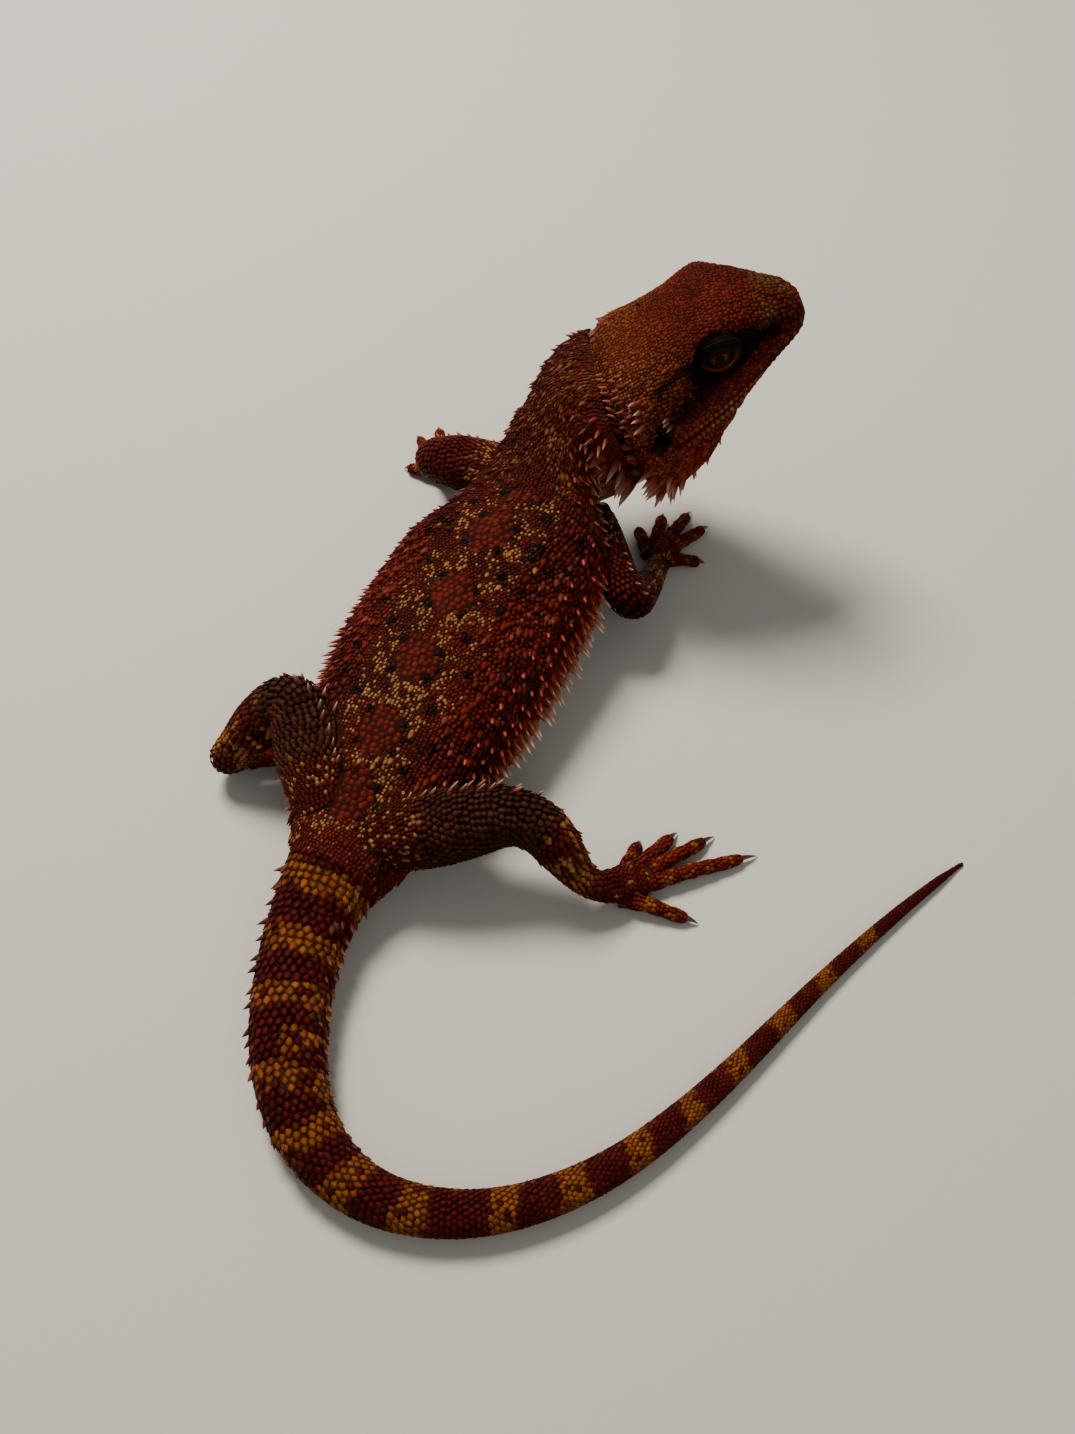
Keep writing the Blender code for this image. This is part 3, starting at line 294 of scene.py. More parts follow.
@dataclass
class Head(Form):
    """The head: crown, brows, snout and jaws, with the mouth, ears, nostrils and eye sockets sunk in."""

    yaw: float = math.radians(57)
    pitch: float = math.radians(22)
    roll: float = math.radians(1)
    back: tuple[float, float, float] = (-2.0, -76.6, 31.3)
    top: Knots = ((0, 6.8), (4.5, 7.4), (9, 8.4), (13, 9.6), (18.5, 11.0), (22.5, 9.9), (26, 7.8), (30, 5.1),
                  (31.4, 3.6), (32, 2.4))
    level: Knots = ((0, -2.0), (8, -1.8), (15, -0.8), (20, 0.0), (26, 0.6), (30.5, 1.1), (32, 1.2))
    bottom: Knots = ((0, 16.8), (5, 17.6), (10, 15.8), (12, 14.2), (14.5, 11.6), (18, 8.8), (23, 5.5),
                     (26, 3.5), (30, 1.6), (31.4, 0.8), (32, 0.3))
    half_width: Knots = ((0, 12.8), (4, 13.9), (8.5, 13.5), (13, 12.6), (18, 11.0), (22, 9.0), (26, 7.2),
                         (30, 5.2), (31.4, 3.6), (32, 2.0))
    nape: tuple[float, float, float] = (9.8, 5.6, 10.4)
    mouth: Knots = ((0, -6.2), (7.5, -5.4), (9, -5.2), (12.5, -4.5), (18, -3.4), (25, -2.2),
                    (31, -0.6), (35, -0.2))
    mouth_end: float = 7.6
    mouth_column: float = 0.44
    eye_at: tuple[float, float, float] = (18.3, 7.0, 4.6)
    lid_radius: float = 3.85
    ear_at: tuple[float, float] = (5.9, -3.4)
    ear_radii: tuple[float, float] = (1.9, 1.0)
    ear_lean: tuple[float, float] = (0.447, 0.894)
    nostril_at: tuple[float, float] = (27.0, 2.6)
    nostril_radii: tuple[float, float] = (0.62, 0.5)

    def __post_init__(self) -> None:
        """Work out where the mouth lies round the outline at each place."""
        self.mouth_places = np.linspace(0.0, HEAD_END, MOUTH_SAMPLES)
        low, high = np.full(MOUTH_SAMPLES, -1.55), np.full(MOUTH_SAMPLES, 0.6)
        target = curve(self.mouth, self.mouth_places)
        for _ in range(30):
            middle = (low + high) / 2
            below = self.outline(self.mouth_places, middle, 0.0)[1] < target
            low, high = np.where(below, middle, low), np.where(below, high, middle)
        self.mouth_angles = (low + high) / 2

    def axes(self, ease: Array | float = 1.0) -> tuple[Array, Array, Array]:
        """Return the directions ahead, right and up at a share of the full turn, rise and roll."""
        yaw, pitch, roll = (np.asarray(turn * ease, float) for turn in (self.yaw, self.pitch, self.roll))
        zero = np.zeros_like(yaw)
        ahead = np.stack([-np.sin(yaw) * np.cos(pitch), -np.cos(yaw) * np.cos(pitch), np.sin(pitch)], axis=-1)
        level = np.stack([-np.cos(yaw), np.sin(yaw), zero], axis=-1)
        right = np.cos(roll)[..., None] * level + np.sin(roll)[..., None] * np.cross(level, ahead)
        return ahead, right, np.cross(right, ahead)

    def frame(self, place: Array) -> tuple[Array, Array, Array]:
        """Return the frame at a distance ahead of the back of the head."""
        ahead, right, up = self.axes()
        return np.array(self.back) + np.asarray(place, float)[..., None] * ahead, right, up

    def spot(self, ahead: float, across: float, height: float) -> Array:
        """Return the point at distances ahead, to the right and up in the head's frame."""
        forward, right, up = self.axes()
        return np.array(self.back) + ahead * forward + across * right + height * up

    def outline(self, place: Array, angle: Array, grow: float) -> tuple[Array, Array]:
        """Return the outline with its brow ridges, snout ridges, cheeks and lips.

        A superellipse from the knots, moved out or in along its own radius by smooth hills of place and of
        the angle above the side. Behind the jaws it eases into the neck's outline.
        """
        width, top, bottom, level = (curve(knots, place) for knots in
                                     (self.half_width, self.top, self.bottom, self.level))
        across, height = oval(angle, width + grow, top - level + grow, bottom + level + grow, 2.2, 2.7)
        side = np.degrees(np.abs(np.arctan2(np.sin(angle), np.abs(np.cos(angle)))))
        side = np.where(np.sin(angle) >= 0, side, -side)
        swell = 1.1 * bump(place, 18.8, 4.0) * bump(side, 45, 13)
        swell = swell + 0.55 * bump(place, 18.4, 5.0) * bump(side, 36, 8)
        swell = swell + 0.35 * bump(place, 24.5, 3.7) * bump(side, 48, 12)
        swell = swell + 0.35 * bump(place, 25.5, 3.2) * bump(side, 36, 9)
        swell = swell - 1.4 * bump(place, 18.3, 3.8) * bump(side, 18, 11)
        swell = swell - 0.5 * bump(place, 23.5, 3.2) * bump(side, 22, 14)
        swell = swell + 0.5 * bump(place, 4, 4.0) * bump(side, -8, 22)
        swell = swell + 0.5 * bump(place, 18, 10.0) * bump(side, -19, 9)
        swell = swell + 1.6 * bump(place, 2.5, 5.0) * bump(side, -44, 22)
        swell = swell + 0.9 * bump(place, 12.5, 5.0) * bump(side, -40, 18)
        swell = swell - 0.35 * bump(place, 13, 12.0) * bump(side, 90, 22)
        length = np.maximum(np.hypot(across, height), 1e-9)
        across, height = across + swell * across / length, level + height + swell * height / length
        neck_across, neck_height = oval(angle, *(size + grow for size in self.nape), 2.15, 2.5)
        share = smooth(place, -0.6, 2.4)
        return neck_across * (1 - share) + across * share, neck_height * (1 - share) + height * share

    def mouth_gap(self, place: Array, height: Array) -> Array:
        """Return the height above the line of the mouth."""
        return height - curve(self.mouth, place)

    def sculpt(self, place: Array, across: Array, height: Array) -> tuple[Array, Array]:
        """Return across and height after the mouth, lips, ears, nostrils, sockets and throat folds.

        Each is a smooth hill or hollow of the distance to its own line or centre, taken along the radius, and
        the socket holds the skin under the sphere on which the lids lie.
        """
        length = np.maximum(np.hypot(across, height), 1e-9)
        gap = self.mouth_gap(place, height)
        open_part = smooth(place, self.mouth_end - 0.5, self.mouth_end + 1.0) * (np.abs(across) > 0.5)
        move = -0.5 * bump(gap, 0.0, 0.22) * open_part
        move = move + open_part * (0.22 * bump(gap, 0.75, 0.5) + 0.18 * bump(gap, -0.85, 0.55))
        away = self.from_nostril(place, height)
        move = move - 0.7 * bump(away, 0.0, 0.75) + 0.16 * bump(away, 1.6, 0.6)
        ear = self.from_ear(place, height)
        move = move - 1.5 * (1 - smooth(ear, 0.62, 1.08)) + 0.15 * bump(ear, 1.35, 0.25)
        fold = np.sin(1.9 * place + 0.5 * np.abs(across))
        fold = fold * smooth(-height, 5.0, 9.0) * smooth(9 - place, 0, 6)
        move = move + 0.16 * fold
        across, height = across + move * across / length, height + move * height / length
        run, climb = place - self.eye_at[0], height - self.eye_at[2]
        away = np.hypot(run, climb)
        lid = self.eye_at[1] + np.sqrt(np.maximum(self.lid_radius ** 2 - away ** 2, 0.0)) - 0.25
        floor = self.eye_at[1] + 1.2 + (lid - self.eye_at[1] - 1.2) * smooth(away, 2.5, 3.1)
        near = 1 - smooth(away, 3.4, 4.0)
        held = np.minimum(np.abs(across), floor)
        return np.sign(across) * (np.abs(across) * (1 - near) + held * near), height

    def from_ear(self, place: Array, height: Array) -> Array:
        """Return the distance from the ear's middle over its reach, along its lean and across it."""
        ahead, up = self.ear_lean
        run, climb = place - self.ear_at[0], height - self.ear_at[1]
        return np.hypot((run * ahead + climb * up) / self.ear_radii[0],
                        (climb * ahead - run * up) / self.ear_radii[1])

    def from_nostril(self, place: Array, height: Array) -> Array:
        """Return the distance from the nostril's middle over its reach."""
        return np.hypot((place - self.nostril_at[0]) / self.nostril_radii[0],
                        (height - self.nostril_at[1]) / self.nostril_radii[1])

    def columns(self, place: Array, count: int) -> Array:
        """Return column angles that crowd along the mouth, so that one column runs in it all the way.

        On each side a column's share of the half turn is stretched by a curve that is flat at the mouth's own
        column, and towards the neck the angles ease back to even ones.
        """
        share = np.arange(count) / count
        half = np.where(share <= 0.5, share, 1 - share) * 2
        mouth = np.interp(place, self.mouth_places, self.mouth_angles)[:, None]
        at = self.mouth_column
        below, above = np.clip(1 - half / at, 0, 1), np.clip((half - at) / (1 - at), 0, 1)
        stretched = np.where(half < at, mouth - (mouth + math.pi / 2) * self.stretch(below),
                             mouth + (math.pi / 2 - mouth) * self.stretch(above))
        even = -math.pi / 2 + math.pi * half
        ease = smooth(place, 0.0, 6.0)[:, None]
        angle = even * (1 - ease) + stretched * ease
        return np.where(share <= 0.5, angle, math.pi - angle)

    @staticmethod
    def stretch(share: Array) -> Array:
        """Return the stretched share: three tenths of itself plus the rest of its power of 2.2."""
        return 0.3 * share + 0.7 * share ** 2.2


@dataclass
class Neck(Form):
    """The neck: a path that turns and climbs from the shoulders to the back of the head."""

    trunk: Trunk = None
    head: Head = None
    half_width: Knots = ((0, 13.8), (0.45, 9.8), (0.7, 10.8), (0.87, 12.6), (1, 12.6))
    rise: Knots = ((0, 11.2), (0.5, 7.4), (1, 5.6))
    drop: Knots = ((0, 10.8), (0.45, 10.0), (0.7, 12.6), (0.87, 16.6), (1, 17.2))
    climb: float = 0.45

    def frame(self, place: Array) -> tuple[Array, Array, Array]:
        """Return the frame at a share of the neck: a cubic path whose ends follow the trunk and the head."""
        share = np.asarray(place, float)
        start, finish = self.trunk.frame(np.array(TRUNK_END))[0], np.array(self.head.back)
        first, last = unit(np.array([0.0, -1.0, self.climb])), self.head.axes()[0]
        pull = np.linalg.norm(finish - start)
        square, cube = share ** 2, share ** 3
        centre = ((2 * cube - 3 * square + 1)[..., None] * start
                  + (cube - 2 * square + share)[..., None] * pull * first
                  + (3 * square - 2 * cube)[..., None] * finish + (cube - square)[..., None] * pull * last)
        _, right, up = self.head.axes(share * share * (3 - 2 * share))
        return centre, right, up

    def outline(self, place: Array, angle: Array, grow: float) -> tuple[Array, Array]:
        """Return the neck's outline with loose folds across it: a wave of the place, deeper at the sides."""
        width, rise, drop = (curve(knots, place) + grow for knots in (self.half_width, self.rise, self.drop))
        across, height = oval(angle, width, rise, drop, 2.15, 2.5)
        fold = 0.3 * np.sin(21 * place + 1.2 * np.cos(angle))
        fold = fold * smooth(place, 0.02, 0.2) * smooth(1 - place, 0.02, 0.2)
        scale = 1 + fold * (0.35 + 0.65 * np.abs(np.cos(angle))) / 10
        return across * scale, height * scale


@dataclass
class Tail(Form):
    """The tail, which lies on the floor in one long hook."""

    heading: Knots = ((7, 0), (11, 9), (16, 15), (35, 38), (50, 76), (59, 102), (78, 138), (97, 157),
                      (115, 162), (135, 158.7), (155, 154))
    half_width: Knots = ((7, 6.9), (14, 5.9), (32, 5.1), (57, 3.4), (88, 2.4), (120, 1.55),
                         (149, 0.85), (155, 0.35))
    tall: float = 0.86
    sink: float = 0.12
    root: tuple[float, float] = (-0.9, 7.0)

    def __post_init__(self) -> None:
        """Walk the path: short steps along the heading, added up from the root."""
        self.lengths = np.linspace(TAIL_START, TAIL_END, 600)
        turn = np.radians(curve(self.heading, self.lengths))
        steps = np.diff(self.lengths, prepend=self.lengths[0])
        self.path = np.stack([self.root[0] - np.cumsum(np.sin(turn) * steps),
                              self.root[1] + np.cumsum(np.cos(turn) * steps)], axis=-1)

    def frame(self, place: Array) -> tuple[Array, Array, Array]:
        """Return the frame at a length along the tail."""
        place = np.asarray(place, float)
        turn = np.radians(curve(self.heading, place))
        centre = np.stack([np.interp(place, self.lengths, self.path[:, 0]),
                           np.interp(place, self.lengths, self.path[:, 1]),
                           self.tall * curve(self.half_width, place) - self.sink], axis=-1)
        right = np.stack([-np.cos(turn), -np.sin(turn), np.zeros_like(turn)], axis=-1)
        return centre, right, np.array([0.0, 0.0, 1.0])

    def outline(self, place: Array, angle: Array, grow: float) -> tuple[Array, Array]:
        """Return a round outline, a little flattened."""
        width = curve(self.half_width, place)
        grow = np.maximum(grow, -0.4 * width)
        return oval(angle, width + grow, self.tall * width + grow, self.tall * width + grow, 2.1, 2.3)


@dataclass
class Limb(Form):
    """A limb from inside the body to the end of its palm or sole, along a path with rounded bends."""

    corners: tuple[tuple[float, float, float], ...] = ()
    bends: tuple[float, float] = (5.5, 4.4)
    half_width: Knots = ()
    tall: Knots = ()

    def __post_init__(self) -> None:
        """Round the corners with quadratic bends and carry an upward direction along the path."""
        corners = np.array(self.corners, float)
        path = [corners[0]]
        for before, corner, after, bend in zip(corners, corners[1:], corners[2:], self.bends):
            enter, leave = corner + bend * unit(before - corner), corner + bend * unit(after - corner)
            share = np.linspace(0, 1, 9)[:, None]
            path.extend((1 - share) ** 2 * enter + 2 * share * (1 - share) * corner + share ** 2 * leave)
        path = np.array([*path, corners[-1]])
        lengths = np.concatenate([[0], np.cumsum(np.linalg.norm(np.diff(path, axis=0), axis=1))])
        self.end = float(lengths[-1])
        self.places = np.linspace(0, self.end, 160)
        self.points = along_path(self.places, lengths, path)
        ahead = np.gradient(self.points, axis=0)
        for _ in range(6):
            ahead[1:-1] = (ahead[:-2] + ahead[1:-1] + ahead[2:]) / 3
        self.ahead = unit(ahead)
        up, ups = np.array([0.0, 0.0, 1.0]), []
        for direction in self.ahead:
            up = unit(up - np.dot(up, direction) * direction)
            ups.append(up)
        self.ups = np.array(ups)
        near = [np.argmin(np.linalg.norm(path - corner, axis=1)) for corner in corners[1:3]]
        self.joints = [float(lengths[number]) for number in near]

    def frame(self, place: Array) -> tuple[Array, Array, Array]:
        """Return the frame at a length along the limb, read from the walked path."""
        place = np.asarray(place, float)
        centre, ahead, up = (along_path(place, self.places, rows)
                             for rows in (self.points, self.ahead, self.ups))
        ahead = unit(ahead)
        up = unit(up - np.sum(up * ahead, axis=-1, keepdims=True) * ahead)
        return centre, np.cross(ahead, up), up

    def outline(self, place: Array, angle: Array, grow: float) -> tuple[Array, Array]:
        """Return the outline, which flattens towards the palm or sole."""
        share = place / self.end
        half = curve(self.half_width, share)
        tall = half * curve(self.tall, share)
        round_off = np.sqrt(np.clip(1 - smooth(share, 0.95, 1.03) ** 2, 0.02, 1))
        half, tall = (half + grow) * round_off, (tall + grow) * round_off
        return oval(angle, half, tall, tall, 2.1, 2.1)


@dataclass
class Digit(Form):
    """A finger or toe, from inside the palm to the root of its claw."""

    root: tuple[float, float] = (0.0, 0.0)
    turn: float = 0.0
    length: float = 10.0
    radius: Knots = ((0, 1.25), (0.45, 1.1), (0.75, 1.0), (0.84, 0.9), (1, 0.5))
    lift: Knots = ((0, 1.4), (0.35, 1.7), (0.74, 0.95), (0.88, 0.85), (1, 0.7))
    flesh: float = 0.86
    rounding: float = 0.76

    def frame(self, place: Array) -> tuple[Array, Array, Array]:
        """Return the frame at a length along the digit, which arches over its middle."""
        place = np.asarray(place, float)
        ahead = np.array([math.sin(self.turn), -math.cos(self.turn)])
        flat = np.array(self.root) + place[..., None] * ahead
        centre = np.concatenate([flat, curve(self.lift, place / self.length)[..., None]], axis=-1)
        return centre, np.array([-math.cos(self.turn), -math.sin(self.turn), 0.0]), np.array([0.0, 0.0, 1.0])

    def outline(self, place: Array, angle: Array, grow: float) -> tuple[Array, Array]:
        """Return a round outline with slight knuckles, rounded off at the tip."""
        share = place / self.length
        radius = curve(self.radius, share) * (1 + 0.05 * np.cos(TAU * place / 2.6)) + grow * 0.5
        beyond = np.clip((share - self.rounding) / (self.flesh - self.rounding), 0, 1)
        radius = radius * np.sqrt(np.clip(1 - beyond ** 2, 0.01, 1))
        return oval(angle, radius, radius, radius * 0.9, 2.0, 2.2)


@dataclass
class Body:
    """All the forms of the animal and the sizes of its limbs."""

    corners: dict[str, tuple] = field(default_factory=lambda: {
        "fore_right": ((-6.0, -65.4, 15.0), (-18.3, -53.0, 10.4), (-16.4, -68.7, 3.9), (-14.4, -75.9, 1.5)),
        "fore_left": ((5.5, -65.0, 17.8), (22.2, -63.0, 17.6), (26.2, -73.6, 4.0), (28.6, -77.4, 1.5)),
        "hind_right": ((-3.0, 0.5, 7.6), (-22.6, -11.2, 13.0), (-33.6, -8.0, 4.4), (-38.6, -15.4, 1.7)),
        "hind_left": ((3.0, 0.0, 7.6), (16.6, -13.1, 15.0), (25.3, -2.6, 4.4), (22.8, -10.4, 1.7))})
    widths: dict[str, Knots] = field(default_factory=lambda: {
        "fore_right": ((0, 3.0), (0.14, 3.3), (0.3, 3.2), (0.42, 3.0), (0.6, 2.6),
                       (0.82, 1.8), (0.9, 2.3), (1, 2.7)),
        "fore_left": ((0, 3.8), (0.14, 4.6), (0.3, 4.4), (0.42, 3.6), (0.6, 3.1),
                      (0.82, 1.9), (0.9, 2.4), (1, 2.8)),
        "hind_right": ((0, 4.6), (0.22, 5.3), (0.5, 3.9), (0.62, 3.5), (0.8, 2.2), (0.9, 2.6), (1, 3.1)),
        "hind_left": ((0, 4.6), (0.22, 5.4), (0.5, 4.2), (0.62, 3.9), (0.8, 2.5), (0.9, 2.7), (1, 3.1))})
    talls: dict[str, Knots] = field(default_factory=lambda: {
        "fore": ((0, 1.0), (0.82, 1.0), (1, 0.5)), "hind": ((0, 1.0), (0.8, 1.0), (1, 0.55))})
    bends: dict[str, tuple] = field(default_factory=lambda: {"fore": (5.6, 2.2), "hind": (5.5, 4.4)})
    heading: dict[str, float] = field(default_factory=lambda: {
        "fore_right": -4.0, "fore_left": 38.0, "hind_right": -30.0, "hind_left": -25.0})
    digits: dict[str, tuple] = field(default_factory=lambda: {
        "fore": ((-42, 8.0, 2.6, -1.5), (-18, 11.0, 1.6, -1.0), (-2, 13.0, 1.2, 0.0), (14, 12.0, 1.6, 1.0),
                 (52, 7.4, 2.8, 1.5)),
        "hind": ((-34, 8.0, 3.0, -1.6), (-16, 11.5, 2.0, -1.1), (-2, 14.6, 1.4, -0.2), (14, 18.6, 1.6, 0.9),
                 (50, 11.5, 5.0, 1.0))})

    def __post_init__(self) -> None:
        """Make every form."""
        self.trunk = Trunk("trunk", TRUNK_START, TRUNK_END)
        self.head = Head("head", 0.0, HEAD_END)
        self.neck = Neck("neck", 0.0, 1.0, unit_length=27.0, trunk=self.trunk, head=self.head)
        self.tail = Tail("tail", TAIL_START, TAIL_END, tailward=1.0)
        self.limbs, self.toes = {}, []
        for name, corners in self.corners.items():
            kind = name.split("_")[0]
            self.limbs[name] = Limb(name, 0.0, 1.0, tailward=1.0, corners=corners, bends=self.bends[kind],
                                    half_width=self.widths[name], tall=self.talls[kind])
            self.toes.extend(self.digit(name, number, *sizes)
                             for number, sizes in enumerate(self.digits[kind], 1))

    def digit(self, limb: str, number: int, turn: float, length: float, behind: float, aside: float) -> Digit:
        """Return one digit.

        Args:
            limb: the limb's name.
            number: 1 for the inner digit.
            turn: degrees from the palm's heading towards the outer side.
            length: its length with the claw.
            behind: how far its root lies behind the end of the palm.
            aside: how far its root lies to the outer side.

        Returns:
            The digit's form.
        """
        outer = 1.0 if limb.endswith("left") else -1.0
        heading = math.radians(self.heading[limb])
        ahead = np.array([math.sin(heading), -math.cos(heading)])
        side = outer * np.array([math.cos(heading), math.sin(heading)])
        root = np.array(self.corners[limb][3][:2]) - behind * ahead + aside * side
        digit = Digit(f"{limb}_{number}", 0.0, 1.0, tailward=1.0, root=tuple(root),
                      turn=heading + outer * math.radians(turn), length=length)
        digit.end = length * digit.flesh
        return digit


class Palette:
    """Colours of the living skin, and of the highlights painted on it, in linear light."""

    MAHOGANY = np.array(srgb(56, 15, 6))
    BRICK = np.array(srgb(78, 20, 7))
    RUST = np.array(srgb(70, 16, 4))
    AMBER = np.array(srgb(120, 48, 14))
    GOLD = np.array(srgb(92, 44, 13))
    OCHRE = np.array(srgb(128, 74, 22))
    TAN = np.array(srgb(150, 104, 56))
    PINK_AND_HIGHLIGHT = np.array(srgb(120, 72, 52))
    BLACK = np.array(srgb(14, 6, 4))
    CHOCOLATE = np.array(srgb(46, 18, 9))
    ASH_AND_HIGHLIGHT = np.array(srgb(96, 68, 50))
    WINE = np.array(srgb(56, 9, 4))
    FLAME = np.array(srgb(140, 38, 10))
    EMBER = np.array(srgb(88, 22, 6))
    CREAM = np.array(srgb(228, 200, 158))
    OLIVE = np.array(srgb(66, 44, 16))
    BELLY = np.array(srgb(138, 96, 66))


@dataclass
class Markings:
    """The animal's pattern: colours from places on the body, the same for the skin and for every scale.

    A band of the tail is given by its place on the outer side of the tail's curl, its place on the inner
    side, and the side that it keeps to: -1 outer, 1 inner or 0 for both. A black spot is given by its
    distance ahead of a saddle's middle, its distance to the side and its reach.
    """

    body: Body
    saddles: tuple[float, ...] = (2.5, 12.0, 24.0, 35.5, 47.5, 57.5)
    saddle_reach: tuple[float, float] = (3.7, 3.5)
    bands: tuple[tuple[float, float, int], ...] = (
        (10.0, 10.4, 0), (18.2, 18.8, 0), (26.0, 26.8, 0), (32.6, 33.4, 1), (36.0, 39.4, 0), (44.6, 45.6, 0),
        (52.0, 53.0, 0), (60.0, 61.2, 0), (70.8, 72.6, 0), (80.0, 81.0, 0), (89.2, 90.2, 0), (98.0, 99.0, 0),
        (107.0, 108.0, 0), (116.0, 117.0, 0), (125.0, 126.0, 0), (133.6, 134.4, 0))
    spots: tuple[tuple[float, float, float], ...] = (
        (1.9, 3.0, 0.65), (-2.6, -2.7, 0.65), (-2.4, 3.0, 0.5), (2.3, -2.9, 0.5),
        (0.0, 3.9, 0.4), (5.8, 5.6, 0.7), (4.6, -6.4, 0.65), (1.0, 8.0, 0.6))

    def colours(self, form: Form, place: Array, angle: Array, points: Array) -> tuple[Array, Array]:
        """Return the colours of the scales' bodies and of their raised tips, which are lighter partly as a
        painted highlight.

        Args:
            form: the form that carries them.
            place: places along it.
            angle: angles round it.
            points: the points in space.

        Returns:
            Two arrays of linear colours.
        """
        if isinstance(form, Trunk):
            return self.back(place, form.outline(place, angle, 0.0)[0] + 0.5, angle, points)
        if isinstance(form, Neck):
            base, tip = self.back(TRUNK_END + place * 20, form.outline(place, angle, 0.0)[0], angle, points)
            return mixed(base, Palette.MAHOGANY, 0.55), mixed(tip, Palette.MAHOGANY * 1.2, 0.65)
        if isinstance(form, Head):
            return self.face(form, place, angle, points)
        if isinstance(form, Tail):
            return self.tail(place, angle, points)
        if isinstance(form, Limb):
            return self.limb(form, place, points)
        return self.digit(place, points)

    def saddle_distance(self, place: Array, across: Array, points: Array) -> Array:
        """Return the distance from the nearest saddle's middle over its reach, with a ragged edge."""
        long, wide = self.saddle_reach
        nearest = np.min([np.hypot((place - middle) / long, across / wide)
                          for middle in self.saddles], axis=0)
        return nearest + 0.16 * cloud(points, 1.7, 9)

    def back(self, place: Array, across: Array, angle: Array, points: Array) -> tuple[Array, Array]:
        """Return the trunk's colours: brick saddles, chains of tan flecks, black spots and wine flanks."""
        dice, wide = speckle(points, 7), cloud(points, 6.0, 5)
        base = mixed(Palette.MAHOGANY, Palette.WINE, smooth(np.abs(across), 6.0, 12.0))
        base = mixed(base, Palette.BRICK, 0.7 * smooth(wide, -0.6, 0.5))
        # Painted highlight: tips are lighter than the bodies, and about one in eight turns pink, as light on
        # raised flank scales.
        tip = mixed(base * 1.3, Palette.PINK_AND_HIGHLIGHT, 0.45 * (speckle(points, 13) > 0.88))
        nearest = self.saddle_distance(place, across, points)
        chain = smooth(cloud(points, 2.4, 17), -0.25, 0.15)
        ring = smooth(nearest, 1.02, 1.12) * (1 - smooth(nearest, 1.45, 2.0)) * (0.25 + 0.75 * chain)
        inner = 1 - smooth(np.abs(across), 6.0, 10.0)
        ring = np.maximum(ring, 0.5 * chain * smooth(nearest, 1.1, 1.3) * inner)
        fleck = dice < 0.62 * ring
        base = mixed(base, Palette.GOLD, 0.75 * fleck)
        tip = mixed(tip, Palette.TAN, 0.95 * fleck)
        saddle = 1 - smooth(nearest, 0.96, 1.06)
        base, tip = mixed(base, Palette.BRICK * 0.8, saddle), mixed(tip, Palette.BRICK * 0.9, saddle)
        black = np.zeros(len(place))
        for middle in self.saddles:
            for ahead, side, reach in self.spots:
                away = np.hypot(place - middle - ahead, across - side)
                black = np.maximum(black, 1 - smooth(away, reach, reach + 0.3))
        flank = smooth(np.abs(across), 5, 8)
        black = np.maximum(black, 0.85 * smooth(cloud(points, 2.0, 21), 0.5, 0.6) * flank)
        base, tip = mixed(base, Palette.BLACK, black), mixed(tip, Palette.BLACK * 1.6, 0.9 * black)
        edge = bump(np.degrees(np.arcsin(np.clip(np.sin(angle), -1, 1))), -3.0, 11.0)
        edge = edge * smooth(np.abs(across), 7.0, 12.0)
        base, tip = mixed(base, Palette.FLAME, 0.4 * edge), mixed(tip, Palette.FLAME, 0.5 * edge)
        under = smooth(-np.sin(angle), 0.35, 0.75)
        throat = 0.85 * under * smooth(place, 58.0, 66.0)
        base, tip = mixed(base, Palette.BELLY, under), mixed(tip, Palette.BELLY, under)
        return mixed(base, Palette.WINE * 0.6, throat), mixed(tip, Palette.WINE, throat)

    def face(self, head: Head, place: Array, angle: Array, points: Array) -> tuple[Array, Array]:
        """Return the head's colours: rust crown, golden temples, dark bands from the eye, orange lips, a pale
        lip patch with a painted highlight, and painted shade in the eye sockets, under the canthal ridges and
        in the ears.
        """
        across, height = head.outline(place, angle, 0.0)
        dice, grain, wide = speckle(points, 29), cloud(points, 1.0, 31), cloud(points, 4.0, 33)
        base = Palette.RUST * (0.8 + 0.35 * smooth(wide, -0.6, 0.6))[:, None]
        temple = (1 - smooth(place, 11.0, 17.0)) * smooth(height, -6.0, 0.0) * (1 - smooth(height, 6.8, 9.5))
        base = mixed(base, Palette.GOLD, temple * (0.12 + 0.5 * (dice < 0.5)))
        jowl = smooth(-height, -2.5, 3.0)
        base = mixed(base, Palette.EMBER, 0.9 * jowl)
        base = mixed(base, Palette.AMBER, 0.5 * jowl * (dice > 0.7))
        snout = smooth(place, 24.0, 28.0) * smooth(height, 3.0, 5.0)
        base = mixed(base, Palette.OLIVE, 0.8 * snout * smooth(wide, -0.4, 0.5))
        gap = head.mouth_gap(place, height)
        front = smooth(place, 8.0, 12.0)
        base = mixed(base, Palette.AMBER, 0.8 * bump(gap, 0.9, 0.9) * front)
        base = mixed(base, Palette.OCHRE, 0.4 * bump(gap, -0.9, 0.7) * front)
        # Pale grey patch at the rear of the upper lip: pale scales with a painted highlight on them.
        pale_lip_and_highlight = np.hypot((place - 16.5) / 2.6, (gap + 0.2) / 0.9)
        base = mixed(base, Palette.ASH_AND_HIGHLIGHT, 0.8 * (1 - smooth(pale_lip_and_highlight, 0.6, 1.1)))
        side = smooth(np.abs(across), 3.5, 5.5)
        first = bump(height, 3.6 + 0.31 * (place - 7.0), 0.55) * smooth(place, 6.0, 8.5)
        first = first * (1 - smooth(place, 15.0, 16.5))
        second = bump(height, -1.1 + 0.33 * (place - 7.2), 1.5) * smooth(place, 4.5, 6.5)
        second = second * (1 - smooth(place, 16.5, 18.0))
